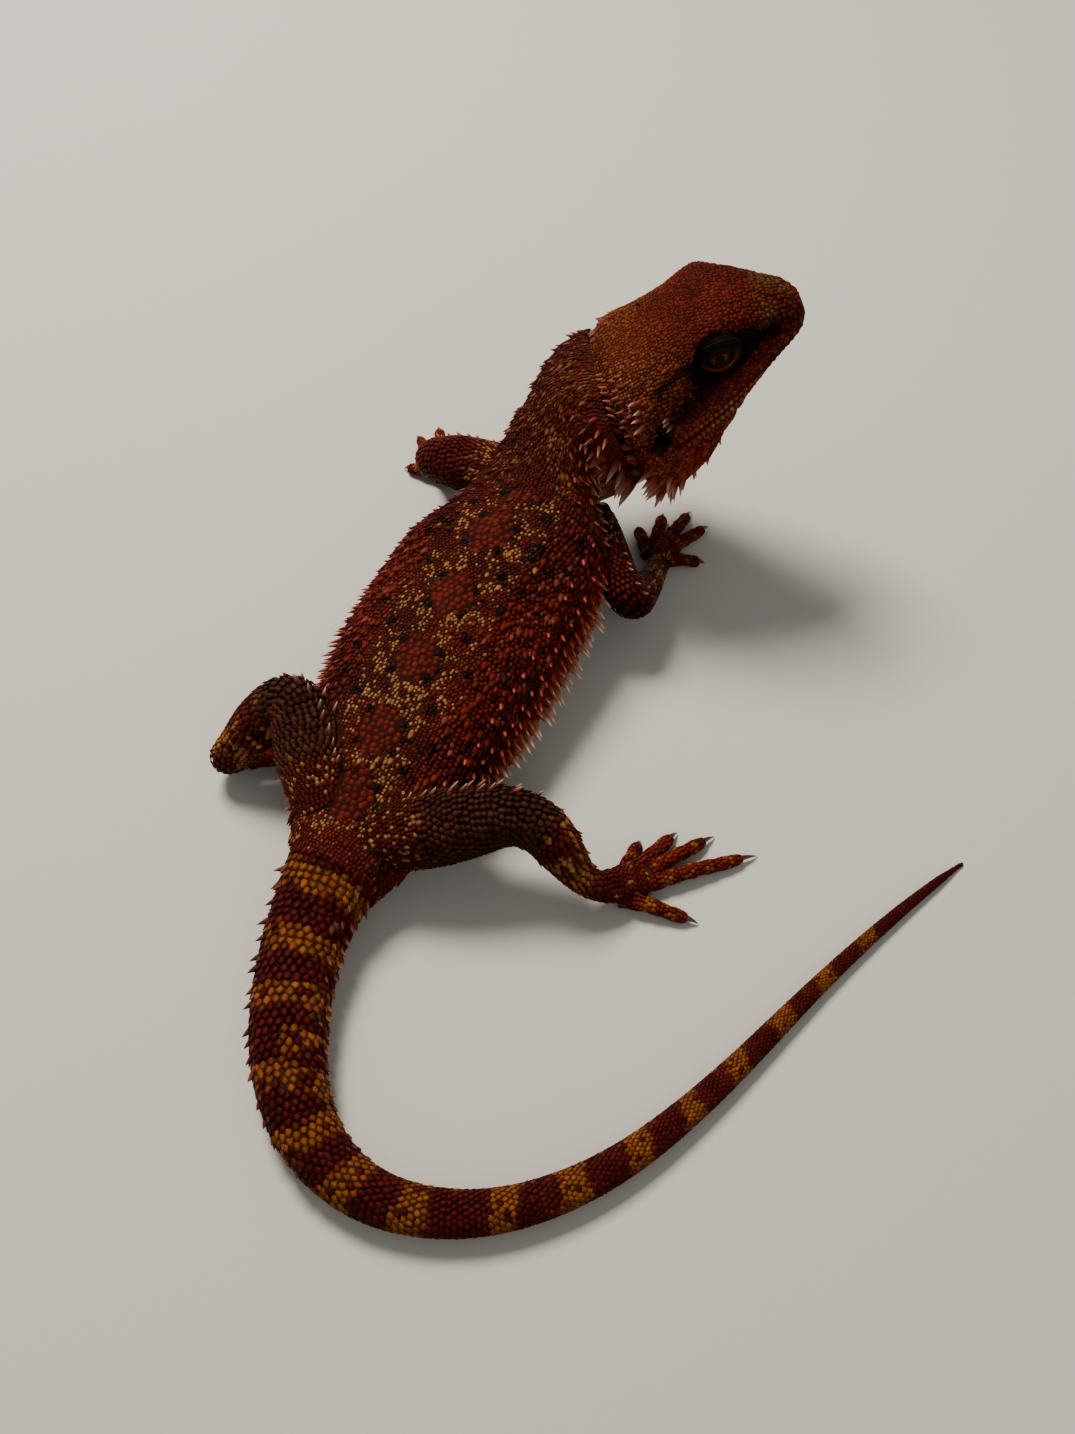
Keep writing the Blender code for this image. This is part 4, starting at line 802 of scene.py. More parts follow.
        # Painted shade: the eye socket under the brow, the band below the canthal ridge and the ear's hollow
        # are darkened towards black; the two bands from the eye are the animal's own.
        socket = smooth(1.2 - np.hypot((place - 19.0) / 5.6, (height - 4.0) / 2.8), 0.0, 0.3)
        shade_under_canthus = bump(height, 3.3, 1.0) * smooth(place, 21.5, 23.5) * (1 - smooth(place, 27.5, 29.5))
        ear = np.hypot((place - head.ear_at[0]) / 1.7, (height - head.ear_at[1]) / 1.1)
        ear = smooth(1.5 - ear, 0.0, 0.5)
        base = mixed(base, Palette.WINE * 0.4, np.clip(1.3 * second, 0, 0.95) * side)
        dark = side * np.clip(0.95 * first + 0.3 * second + 1.1 * socket + 0.95 * shade_under_canthus + ear, 0, 0.96)
        base = mixed(base, Palette.BLACK, dark)
        nape = (1 - smooth(place, 1.0, 4.0)) * smooth(grain, -0.5, 0.5)
        base = mixed(base, Palette.MAHOGANY, 0.5 * nape)
        tip = mixed(base * 1.2, Palette.OCHRE, 0.35 * (dice > 0.76) * (1 - dark) * np.maximum(temple, 0.1))
        rear = (1 - smooth(place, 5.0, 11.0)) * side * (speckle(points, 35) < 0.4) * (1 - dark)
        return base, mixed(tip, Palette.PINK_AND_HIGHLIGHT, 0.6 * rear)

    def tail(self, place: Array, angle: Array, points: Array) -> tuple[Array, Array]:
        """Return the tail's colours: dark red, with ochre bands whose two ends may lie apart or fail."""
        dice, grain = speckle(points, 39), cloud(points, 1.6, 41)
        inner = np.cos(angle)
        warp = 0.7 * cloud(points, 3.0, 43) + 0.6 * (dice - 0.5)
        ochre = np.zeros(len(place))
        for outer_place, inner_place, keep in self.bands:
            middle = 0.5 * (outer_place + inner_place) + 0.5 * inner * (inner_place - outer_place)
            half = 1.1 + 0.25 * np.abs(inner)
            band = 1 - smooth(np.abs(place + warp - middle), half, half + 0.9)
            ochre = np.maximum(ochre, band * (smooth(keep * inner, -0.25, 0.15) if keep else 1.0))
        ochre = ochre * (1 - smooth(place, 140, 146)) * (speckle(points, 47) < 0.88)
        base = mixed(Palette.WINE, Palette.BRICK, 0.35 * smooth(cloud(points, 3.0, 45), 0, 0.8))
        base = mixed(base, Palette.BLACK, 0.3 * smooth(grain, 0.2, 0.8))
        base = mixed(base, Palette.GOLD, ochre)
        tip = mixed(base * 1.3, Palette.OCHRE, 0.45 * ochre)
        tip = mixed(tip, Palette.TAN, 0.4 * (dice > 0.8) * smooth(inner, 0.4, 0.9))
        low = 0.8 * smooth(-np.sin(angle), 0.3, 0.65)
        return mixed(base, Palette.BELLY * 0.7, low), mixed(tip, Palette.BELLY * 0.7, low)

    def limb(self, form: Limb, place: Array, points: Array) -> tuple[Array, Array]:
        """Return a limb's colours: chocolate thigh, red shank with yellow spots; dark red arms."""
        dice, wide = speckle(points, 49), cloud(points, 3.2, 53)
        grain = cloud(points, 1.3, 51)
        red = mixed(Palette.WINE, Palette.BRICK, 0.8 * smooth(wide, -0.5, 0.6))
        pale = 0.04
        if form.name.startswith("hind"):
            share = smooth(place + 1.2 * wide, form.joints[0] + 2.5, form.joints[0] + 4.5)
            red, pale = mixed(Palette.CHOCOLATE, red, share), 0.1 - 0.06 * share
        spots = smooth(grain, 0.3, 0.45) * smooth(place, form.joints[0] + 1, form.joints[0] + 5)
        spots = np.maximum(spots, 0.8 * bump(place, form.joints[0] + 10.5, 1.4) * (dice < 0.6))
        base = mixed(red, Palette.OCHRE, 0.6 * spots)
        base = mixed(base, Palette.BLACK, 0.4 * smooth(cloud(points, 2.0, 57), 0.3, 0.8))
        hip = 1 - smooth(place + 1.5 * wide, 6.5, 10.0)
        base = mixed(base, Palette.MAHOGANY, hip)
        fleck = hip * (dice < 0.22)
        base = mixed(base, Palette.GOLD, 0.7 * fleck)
        # Painted highlight: away from the hip some tips are tinted ash grey, as light on the raised scales.
        tip = mixed(base * 1.3, Palette.ASH_AND_HIGHLIGHT, np.clip(pale * (1 - hip) * (dice > 0.25), 0, 1))
        tip = mixed(tip, Palette.TAN, np.clip(0.5 * spots + 0.7 * fleck, 0, 1))
        return base, tip

    def digit(self, place: Array, points: Array) -> tuple[Array, Array]:
        """Return a digit's colours: brick with rings of ochre flecks."""
        dice, grain = speckle(points, 59), cloud(points, 1.0, 61)
        rings = smooth(np.sin(TAU * place / 3.2 + 2.0 * grain), 0.2, 0.8) * (dice < 0.6)
        base = mixed(Palette.BRICK, Palette.WINE, 0.6 * smooth(grain, -0.2, 0.7))
        return mixed(base, Palette.OCHRE, 0.45 * rings), mixed(base * 1.4, Palette.OCHRE, 0.7 * rings)


@dataclass
class Drape:
    """A place for each form on the unwrap of the skin: a rectangle that its lengths and turns fill."""

    body: Body

    def corner(self, form: Form) -> tuple[float, float, float, float]:
        """Return the rectangle's left, bottom, width and height."""
        wide = {"tail": (0.01, 0.01, 0.30, 0.60), "trunk": (0.33, 0.01, 0.30, 0.60),
                "neck": (0.65, 0.01, 0.10, 0.60), "head": (0.77, 0.01, 0.22, 0.60)}
        if form.name in wide:
            return wide[form.name]
        limbs = list(self.body.limbs)
        if form.name in limbs:
            return 0.01 + 0.25 * limbs.index(form.name), 0.63, 0.23, 0.20
        number = [toe.name for toe in self.body.toes].index(form.name)
        return 0.01 + 0.049 * number, 0.85, 0.04, 0.14

    def place(self, form: Form, place: Array, angle: Array) -> Array:
        """Return the unwrap's two coordinates: the share of the length and the share of the turn."""
        left, bottom, width, height = self.corner(form)
        share = np.clip((place - form.start) / (form.end - form.start), 0, 1)
        turn = np.mod((angle + math.pi / 2) / TAU, 1.0)
        return np.stack([left + width * share, bottom + height * turn], axis=-1)


class Meshes:
    """Ways to put whole arrays into Blender meshes."""

    @staticmethod
    def build(name: str, verts: Array, faces: Array, attributes: dict[str, Array],
              uvs: Array | None = None, smoothed: bool = True) -> bpy.types.Object:
        """Return an object from arrays.

        Args:
            name: the object's name.
            verts: points in millimetres.
            faces: rows of three or four corner numbers.
            attributes: values for each point, with one or three columns.
            uvs: two coordinates for each corner of each face, or None.
            smoothed: whether the faces are shaded smooth.

        Returns:
            The linked object, at the origin.
        """
        mesh = bpy.data.meshes.new(name)
        corners = faces.shape[1]
        mesh.vertices.add(len(verts))
        mesh.vertices.foreach_set("co", (verts * MM).astype(np.float32).ravel())
        mesh.loops.add(faces.size)
        mesh.loops.foreach_set("vertex_index", faces.astype(np.int32).ravel())
        mesh.polygons.add(len(faces))
        mesh.polygons.foreach_set("loop_start", np.arange(0, faces.size, corners, dtype=np.int32))
        mesh.polygons.foreach_set("use_smooth", np.full(len(faces), smoothed))
        mesh.update(calc_edges=True)
        for label, values in attributes.items():
            Meshes.attribute(mesh, label, values)
        if uvs is not None:
            layer = mesh.uv_layers.new(name="OFBake")
            layer.data.foreach_set("uv", uvs.astype(np.float32).ravel())
        mesh.validate()
        made = bpy.data.objects.new(name, mesh)
        bpy.context.scene.collection.objects.link(made)
        return made

    @staticmethod
    def attribute(mesh: bpy.types.Mesh, label: str, values: Array) -> None:
        """Store values for each point: three columns as a colour, one as a number."""
        if values.ndim == 2:
            layer = mesh.attributes.new(label, "FLOAT_COLOR", "POINT")
            full = np.concatenate([values, np.ones((len(values), 1))], axis=1)
            layer.data.foreach_set("color", full.astype(np.float32).ravel())
        else:
            layer = mesh.attributes.new(label, "FLOAT", "POINT")
            layer.data.foreach_set("value", values.astype(np.float32).ravel())

    @staticmethod
    def grid_faces(rows: int, columns: int) -> Array:
        """Return the faces of a grid that closes on itself across its columns."""
        row, column = np.meshgrid(np.arange(rows - 1), np.arange(columns), indexing="ij")
        after = (column + 1) % columns
        return np.stack([row * columns + column, row * columns + after, (row + 1) * columns + after,
                         (row + 1) * columns + column], axis=-1).reshape(-1, 4)

    @staticmethod
    def read(rows: bpy.types.bpy_prop_collection, label: str, width: int, kind: type = float) -> Array:
        """Return a property of every row of one of a mesh's lists, as rows of a width."""
        values = np.empty(len(rows) * width, dtype=kind)
        rows.foreach_get(label, values)
        return values.reshape(-1, width)

    @staticmethod
    def close(made: bpy.types.Object) -> None:
        """Fill the two small end holes and turn the faces outwards."""
        mesh = bmesh.new()
        mesh.from_mesh(made.data)
        holes = [edge for edge in mesh.edges if edge.is_boundary]
        bmesh.ops.holes_fill(mesh, edges=holes, sides=0)
        bmesh.ops.recalc_face_normals(mesh, faces=mesh.faces)
        mesh.to_mesh(made.data)
        mesh.free()


@dataclass
class Template:
    """A small closed shape that is stamped many times: x is across, y points to the tail, z points out."""

    verts: Array
    faces: Array
    rise: Array

    @staticmethod
    def rings(sides: int, rings: tuple[tuple[float, float, float], ...], tip: tuple[float, float],
              stretch: float = 1.0) -> "Template":
        """Return a template of rings closed by a tip above and a point below.

        Args:
            sides: corners of each ring.
            rings: radius, shift towards the tail and height of each ring, the lowest first.
            tip: shift towards the tail and height of the top point.
            stretch: length of a ring towards the tail over its width.

        Returns:
            The template; its rise is 0 at the lowest ring and 1 at the tip.
        """
        turns = TAU * (np.arange(sides) + 0.5) / sides
        points = [np.stack([radius * np.cos(turns), shift + radius * stretch * np.sin(turns),
                            np.full(sides, height)], axis=-1) for radius, shift, height in rings]
        low, high = rings[0][2], tip[1]
        verts = np.concatenate([*points, [[0.0, *tip]], [[0.0, rings[0][1], low - 0.12]]])
        faces = []
        for number in range(len(rings) - 1):
            for corner in range(sides):
                a, b = number * sides + corner, number * sides + (corner + 1) % sides
                faces += [(a, b, b + sides), (a, b + sides, a + sides)]
        top, under, last = len(verts) - 2, len(verts) - 1, (len(rings) - 1) * sides
        for corner in range(sides):
            after = (corner + 1) % sides
            faces += [(last + corner, last + after, top), (after, corner, under)]
        return Template(verts, np.array(faces), np.clip((verts[:, 2] - low) / (high - low), 0, 1))

    @staticmethod
    def keeled() -> "Template":
        """Return an overlapping scale with a keel that ends in a raised point."""
        verts = np.array([(0.0, -0.58, -0.12), (0.46, -0.32, -0.08), (0.58, 0.08, -0.01), (0.0, 0.68, 0.25),
                          (-0.58, 0.08, -0.01), (-0.46, -0.32, -0.08), (0.0, -0.24, 0.12), (0.0, 0.22, 0.26),
                          (0.35, 0.38, 0.09), (-0.35, 0.38, 0.09), (0.0, 0.05, -0.22)])
        faces = np.array([(0, 1, 6), (1, 2, 6), (2, 7, 6), (2, 8, 7), (8, 3, 7), (3, 9, 7), (9, 4, 7),
                          (4, 6, 7), (4, 5, 6), (5, 0, 6), (1, 0, 10), (2, 1, 10), (8, 2, 10), (3, 8, 10),
                          (9, 3, 10), (4, 9, 10), (5, 4, 10), (0, 5, 10)])
        rise = np.array([0.0, 0.12, 0.28, 1.0, 0.28, 0.12, 0.5, 0.8, 0.5, 0.5, 0.0])
        return Template(verts, faces, rise)

    @staticmethod
    def granule() -> "Template":
        """Return a low rounded grain."""
        return Template.rings(6, ((0.53, 0.0, -0.10), (0.40, 0.01, 0.14)), (0.03, 0.25))

    @staticmethod
    def plate() -> "Template":
        """Return a flat, faintly domed plate for the belly and the soles."""
        return Template.rings(6, ((0.52, 0.0, -0.08), (0.42, 0.03, 0.06)), (0.05, 0.09), 1.1)

    @staticmethod
    def thorn() -> "Template":
        """Return a broad-based scale drawn out into a short thorn that leans to the tail."""
        return Template.rings(6, ((0.50, -0.05, -0.12), (0.40, 0.05, 0.10), (0.20, 0.32, 0.36)),
                              (0.78, 0.62), 1.15)

    @staticmethod
    def spine() -> "Template":
        """Return a long cone of height one that bows gently to the tail, its base sunk below the skin."""
        return Template.rings(7, ((1.0, 0.0, -0.10), (0.86, 0.0, 0.16), (0.58, 0.03, 0.46),
                                  (0.28, 0.09, 0.76)), (0.17, 1.0))


@dataclass
class Stamped:
    """Copies of templates gathered for one piece, with their colours and their places on the unwrap."""

    verts: list[Array] = field(default_factory=list)
    faces: list[Array] = field(default_factory=list)
    colours: list[Array] = field(default_factory=list)
    rises: list[Array] = field(default_factory=list)
    uvs: list[Array] = field(default_factory=list)
    count: int = 0

    def add(self, template: Template, roots: Array, axes: Array, sizes: Array, base: Array, tip: Array,
            patches: Array, gamma: float = 1.0, gap: float = 0.35) -> None:
        """Stamp a template at every root.

        A copy's point is its root plus the template's x, y and z times the copy's sizes along its axes.

        Args:
            template: the shape.
            roots: points on the skin.
            axes: for each root the directions across, to the tail and outwards.
            sizes: for each root the sizes across, to the tail and outwards.
            base: colours of the copies' bodies.
            tip: colours of their tips, lighter partly as painted highlight.
            patches: their places on the unwrap.
            gamma: how late the tip's colour comes, 1 for evenly.
            gap: brightness of the painted shade on the sunk rim, beside the body's own.
        """
        if not len(roots):
            return
        shape = template.verts[None] * sizes[:, None, :]
        points = roots[:, None, :] + np.einsum("nki,nij->nkj", shape, axes)
        points[..., 2] = np.maximum(points[..., 2], FLOOR_GAP)
        corners = len(template.verts)
        offsets = self.count + corners * np.arange(len(roots))
        self.faces.append((template.faces[None] + offsets[:, None, None]).reshape(-1, 3))
        self.verts.append(points.reshape(-1, 3))
        # Painted light: the low rim is darkened towards the gap as painted shade, and the colour runs up to
        # the tip's, which is partly a painted highlight.
        rise = template.rise[None, :]
        shade = gap + (1 - gap) * smooth(rise, 0.0, 0.4)
        colour = mixed(base[:, None, :], tip[:, None, :], rise ** gamma)
        self.colours.append((colour * shade[..., None]).reshape(-1, 3))
        self.rises.append(np.broadcast_to(rise, (len(roots), corners)).reshape(-1))
        local = template.verts[:, :2] / np.max(np.abs(template.verts[:, :2]))
        self.uvs.append((patches[:, None, :] + BAKE_REACH * local[None]).reshape(-1, 2))
        self.count += corners * len(roots)

    def piece(self, name: str) -> bpy.types.Object:
        """Return all the copies as one object."""
        faces = np.concatenate(self.faces)
        uvs = np.concatenate(self.uvs)[faces.ravel()]
        attributes = {"markings_and_painted_light": np.concatenate(self.colours), "rise": np.concatenate(self.rises)}
        return Meshes.build(name, np.concatenate(self.verts), faces, attributes, uvs)


def new_material(name: str) -> tuple[bpy.types.Material, bpy.types.Nodes, bpy.types.NodeLinks,
                                     bpy.types.Node]:
    """Return a material with its nodes, its links and its shader."""
    made = bpy.data.materials.new(name)
    made.use_nodes = True
    nodes = made.node_tree.nodes
    return made, nodes, made.node_tree.links, nodes["Principled BSDF"]


def preset(node: bpy.types.Node, values: dict[str | int, float | tuple[float, ...]]) -> bpy.types.Node:
    """Return the node after its inputs are given their values."""
    for name, value in values.items():
        node.inputs[name].default_value = value
    return node


@dataclass(frozen=True)
class CoatFinish:
    """Horny skin: the stored colours with their painted shade and highlights, fine mottling, a waxy gloss and
    a faint grain.
    """

    name: str
    roughness: float = 0.5
    specular: float = 0.4
    grain: float = 0.25
    grain_size: float = 0.0004
    cells: float = 0.0
    subsurface: float = 0.04
    mottle: tuple[float, float] = (0.72, 1.28)
    polish: tuple[float, float] = (-0.12, 0.14)

    def material(self) -> bpy.types.Material:
        """Return the material.

        The colour is the piece's own stored colours, painted shade and highlights included, times a soft
        noise, the roughness follows a finer noise, and the bump is a grain, with small cells where the skin
        shows between its scales.
        """
        made, nodes, links, shader = new_material(self.name)
        preset(shader, {"Specular IOR Level": self.specular, "Subsurface Weight": self.subsurface,
                        "Subsurface Radius": (0.6, 0.2, 0.1), "Subsurface Scale": 0.0006})
        place = nodes.new("ShaderNodeTexCoord")
        marks = nodes.new("ShaderNodeAttribute")
        marks.attribute_name = "markings_and_painted_light"
        mottle = self.noise(nodes, links, place, 900.0, 4.0)
        low, high = self.mottle
        spread = preset(nodes.new("ShaderNodeMapRange"), {"To Min": low, "To Max": high})
        links.new(mottle.outputs["Fac"], spread.inputs["Value"])
        blend = nodes.new("ShaderNodeVectorMath")
        blend.operation = "SCALE"
        links.new(marks.outputs["Color"], blend.inputs[0])
        links.new(spread.outputs["Result"], blend.inputs["Scale"])
        links.new(blend.outputs["Vector"], shader.inputs["Base Color"])
        fine = self.noise(nodes, links, place, 1.0 / self.grain_size, 3.0)
        low, high = (self.roughness + change for change in self.polish)
        polish = preset(nodes.new("ShaderNodeMapRange"), {"To Min": low, "To Max": high})
        links.new(fine.outputs["Fac"], polish.inputs["Value"])
        links.new(polish.outputs["Result"], shader.inputs["Roughness"])
        grain = preset(nodes.new("ShaderNodeBump"), {"Strength": self.grain, "Distance": 0.0001})
        links.new(fine.outputs["Fac"], grain.inputs["Height"])
        links.new(grain.outputs["Normal"], shader.inputs["Normal"])
        if self.cells:
            cell = preset(nodes.new("ShaderNodeTexVoronoi"), {"Scale": 1.0 / self.cells})
            links.new(place.outputs["Object"], cell.inputs["Vector"])
            rim = preset(nodes.new("ShaderNodeBump"), {"Strength": 0.7, "Distance": 0.00025})
            rim.invert = True
            links.new(cell.outputs["Distance"], rim.inputs["Height"])
            links.new(rim.outputs["Normal"], grain.inputs["Normal"])
        return made

    @staticmethod
    def noise(nodes: bpy.types.Nodes, links: bpy.types.NodeLinks, place: bpy.types.Node, scale: float,
              detail: float) -> bpy.types.Node:
        """Return a noise node on the object's own coordinates."""
        made = preset(nodes.new("ShaderNodeTexNoise"), {"Scale": scale, "Detail": detail})
        links.new(place.outputs["Object"], made.inputs["Vector"])
        return made


@dataclass(frozen=True)
class EyeFinish:
    """The eyeball: a round pupil in a dark copper iris under a wet, clear surface."""

    name: str = "eye"
    pupil: float = 0.75
    iris: float = 1.5
    copper: tuple[float, float, float] = srgb(92, 46, 16)
    dark: tuple[float, float, float] = srgb(16, 7, 5)
    black: tuple[float, float, float] = (0.002, 0.002, 0.002)
    fibre: float = 0.35
    fibre_mean: float = 0.17
    reach: float = 3.4

    def material(self) -> bpy.types.Material:
        """Return the material: a colour ramp over the distance from the eye's axis, stored on the mesh."""
        made, nodes, links, shader = new_material(self.name)
        preset(shader, {"Roughness": 0.15, "Specular IOR Level": 0.05, "Coat Weight": 0.03,
                        "Coat Roughness": 0.03})
        away = nodes.new("ShaderNodeAttribute")
        away.attribute_name = "axis_distance"
        place = nodes.new("ShaderNodeTexCoord")
        fibres = CoatFinish.noise(nodes, links, place, 1500.0, 3.0)
        wobble = nodes.new("ShaderNodeMath")
        wobble.operation = "MULTIPLY_ADD"
        preset(wobble, {1: self.fibre})
        links.new(fibres.outputs["Fac"], wobble.inputs[0])
        links.new(away.outputs["Fac"], wobble.inputs[2])
        ramp = nodes.new("ShaderNodeValToRGB")
        ramp.color_ramp.elements[0].position = 0.0
        ramp.color_ramp.elements[0].color = (*self.black, 1)
        ramp.color_ramp.elements[1].position = 1.0
        ramp.color_ramp.elements[1].color = (*self.dark, 1)
        shaded = tuple(0.5 * value for value in self.copper)
        for position, colour in ((self.pupil, self.black), (self.pupil + 0.12, self.copper),
                                 (self.iris - 0.2, shaded), (self.iris, self.dark)):
            ramp.color_ramp.elements.new((position + self.fibre_mean) / self.reach).color = (*colour, 1)
        scale = nodes.new("ShaderNodeMath")
        scale.operation = "DIVIDE"
        preset(scale, {1: self.reach})
        links.new(wobble.outputs[0], scale.inputs[0])
        links.new(scale.outputs[0], ramp.inputs["Fac"])
        links.new(ramp.outputs["Color"], shader.inputs["Base Color"])
        return made


@dataclass(frozen=True)
class HornFinish:
    """Dark horn of the claws, paler where it is thin."""

    name: str = "claw_horn"
    dark: tuple[float, float, float] = srgb(34, 20, 14)
    pale: tuple[float, float, float] = srgb(110, 74, 48)

    def material(self) -> bpy.types.Material:
        """Return the material: dark horn, mixed to pale by the rise along the claw and a streaky noise."""
        made, nodes, links, shader = new_material(self.name)
        preset(shader, {"Roughness": 0.3})
        along = nodes.new("ShaderNodeAttribute")
        along.attribute_name = "rise"
        place = nodes.new("ShaderNodeTexCoord")
        streaks = CoatFinish.noise(nodes, links, place, 1800.0, 2.0)
        share = nodes.new("ShaderNodeMath")
        share.operation = "MULTIPLY"
        links.new(along.outputs["Fac"], share.inputs[0])
        links.new(streaks.outputs["Fac"], share.inputs[1])
        ramp = nodes.new("ShaderNodeValToRGB")
        ramp.color_ramp.elements[0].color = (*self.dark, 1)
        ramp.color_ramp.elements[1].color = (*self.pale, 1)
        links.new(share.outputs[0], ramp.inputs["Fac"])
        links.new(ramp.outputs["Color"], shader.inputs["Base Color"])
        return made


@dataclass
class Skin:
    """The one skin: the axis of the body lofted in one piece, with the limbs and digits united to it."""

    body: Body
    marks: Markings
    drape: Drape
    columns: int = 184
    steps: dict[str, float] = field(default_factory=lambda: {"tail": 1.1, "trunk": 0.9, "neck": 0.7,
                                                             "head": 0.38})
    spans: dict[str, tuple[float, float]] = field(default_factory=lambda: {
        "tail": (7.0, 154.8), "trunk": (-6.2, 55.4), "neck": (0.0, 0.98), "head": (0.0, 31.9)})
    limb_columns: int = 36
    limb_step: float = 0.8
    digit_columns: int = 14
    digit_step: float = 0.55
    shadow: float = 0.3
    sharp_below: float = 1.9
    head_margin: float = -3.0
    spread_rounds: int = 4
    ease_rounds: int = 14
    ease_share: float = 0.6

    def grid(self, form: Form, count: int, step: float, backwards: bool, low: float, high: float) -> dict:
        """Return the points, colours and unwrap of a form's grid.

        Args:
            form: the form.
            count: number of columns.
            step: distance between rows, in millimetres.
            backwards: whether the rows run from the end to the start.
            low: place of the first row.
            high: place of the last row.

        Returns:
            Arrays of points, colours and unwrap places, with rows and columns.
        """
        rows = max(2, int(round((high - low) * form.unit_length / step)) + 1)
        place = np.linspace(low, high, rows)
        place = place[::-1] if backwards else place
        angle = form.columns(place, count)
        wide = np.broadcast_to(place[:, None], angle.shape)
        points = form.surface(wide, angle)
        base, _ = self.marks.colours(form, wide.ravel(), angle.ravel(), points.reshape(-1, 3))
        patch = self.drape.place(form, wide, angle)
        return {"points": points, "colours": base.reshape(rows, count, 3) * self.shadow, "uvs": patch,
                "corner": self.drape.corner(form)}

    def shell(self, name: str, grids: list[dict]) -> bpy.types.Object:
        """Return a closed object from grids laid end to end, with a rounded cap at each end."""
        points = np.concatenate([grid["points"] for grid in grids])
        colours = np.concatenate([grid["colours"] for grid in grids])
        patches = np.concatenate([grid["uvs"] for grid in grids])
        first, last = self.cap(points[0], points[1]), self.cap(points[-1], points[-2])
        ends = (len(first), len(last))
        points = np.concatenate([first[::-1], points, last])
        colours, patches = (np.pad(values, (ends, (0, 0), (0, 0)), mode="edge")
                            for values in (colours, patches))
        rows, columns = points.shape[:2]
        faces = Meshes.grid_faces(rows, columns)
        flat = patches.reshape(-1, 2)[faces]
        wrap = np.arange(len(faces)) % columns == columns - 1
        height = np.concatenate([np.full(len(grid["points"]), grid["corner"][3]) for grid in grids])
        height = np.pad(height, ends, mode="edge")
        lift = height[faces[:, 0] // columns]
        flat[wrap, 1:3, 1] += lift[wrap, None]
        attributes = {"markings_and_painted_light": colours.reshape(-1, 3), "old": np.ones(rows * columns)}
        made = Meshes.build(name, points.reshape(-1, 3), faces, attributes, flat)
        Meshes.close(made)
        return made

    @staticmethod
    def cap(edge: Array, inner: Array) -> Array:
        """Return rings that close an end: the edge ring shrunk about its middle and moved out on a round."""
        middle = edge.mean(axis=0)
        outward = unit(middle - inner.mean(axis=0))
        depth = 0.45 * np.min(np.linalg.norm(edge - middle, axis=1))
        scales = np.array([0.97, 0.86, 0.68, 0.45, 0.2])
        offsets = depth * np.sqrt(1 - scales ** 2)
        return middle + scales[:, None, None] * (edge - middle) + offsets[:, None, None] * outward

    def axis(self) -> bpy.types.Object:
        """Return tail, trunk, neck and head as one shell."""
        body, grids = self.body, []
        for form in (body.tail, body.trunk, body.neck, body.head):
            low, high = self.spans[form.name]
            grids.append(self.grid(form, self.columns, self.steps[form.name], form is body.tail, low, high))
        return self.shell("skin", grids)

    def build(self) -> bpy.types.Object:
        """Return the whole skin: the union of the axis with every limb and digit, eased at the joints."""
        skin = self.axis()
        group = bpy.data.collections.new("limb_skins")
        bpy.context.scene.collection.children.link(group)
        parts = [(limb, self.limb_columns, self.limb_step) for limb in self.body.limbs.values()]
        parts += [(toe, self.digit_columns, self.digit_step) for toe in self.body.toes]
        for form, columns, step in parts:
            grid = self.grid(form, columns, step, False, 0.0, form.end)
            self.move(self.shell(f"skin_{form.name}", [grid]), group)
        union = skin.modifiers.new("limbs", "BOOLEAN")
        union.operation = "UNION"
        union.operand_type = "COLLECTION"
        union.collection = group
        union.solver = "MANIFOLD"
        united = bpy.data.meshes.new_from_object(skin.evaluated_get(bpy.context.evaluated_depsgraph_get()))
        skin.modifiers.clear()
        skin.data = united
        for made in list(group.objects):
            bpy.data.objects.remove(made)
        bpy.data.collections.remove(group)
        self.fill_colours(skin.data)
        self.ease(skin.data)
        return skin

    @staticmethod
    def fill_colours(mesh: bpy.types.Mesh) -> None:
        """Give each point that the union added the mean colour of its known neighbours, round by round."""
        count = len(mesh.vertices)
        colours = Meshes.read(mesh.attributes["markings_and_painted_light"].data, "color", 4)
        known = Meshes.read(mesh.attributes["old"].data, "value", 1)[:, 0] > 0.99
        edges = Meshes.read(mesh.edges, "vertices", 2, np.int64)
        edges = np.concatenate([edges, edges[:, ::-1]])
        for _ in range(12):
            use = known[edges[:, 1]] & ~known[edges[:, 0]]
            if not np.any(use):
                break
            near, total = edges[use, 0], np.zeros((count, 4))
            np.add.at(total, near, colours[edges[use, 1]])
            number = np.bincount(near, minlength=count)
            colours[number > 0] = total[number > 0] / number[number > 0, None]
            known = known | (number > 0)
        mesh.attributes["markings_and_painted_light"].data.foreach_set("color", colours.astype(np.float32).ravel())
        mesh.attributes.remove(mesh.attributes["old"])

    @staticmethod
    def move(made: bpy.types.Object, group: bpy.types.Collection) -> None:
        """Move an object into the group."""
        bpy.context.scene.collection.objects.unlink(made)
        group.objects.link(made)

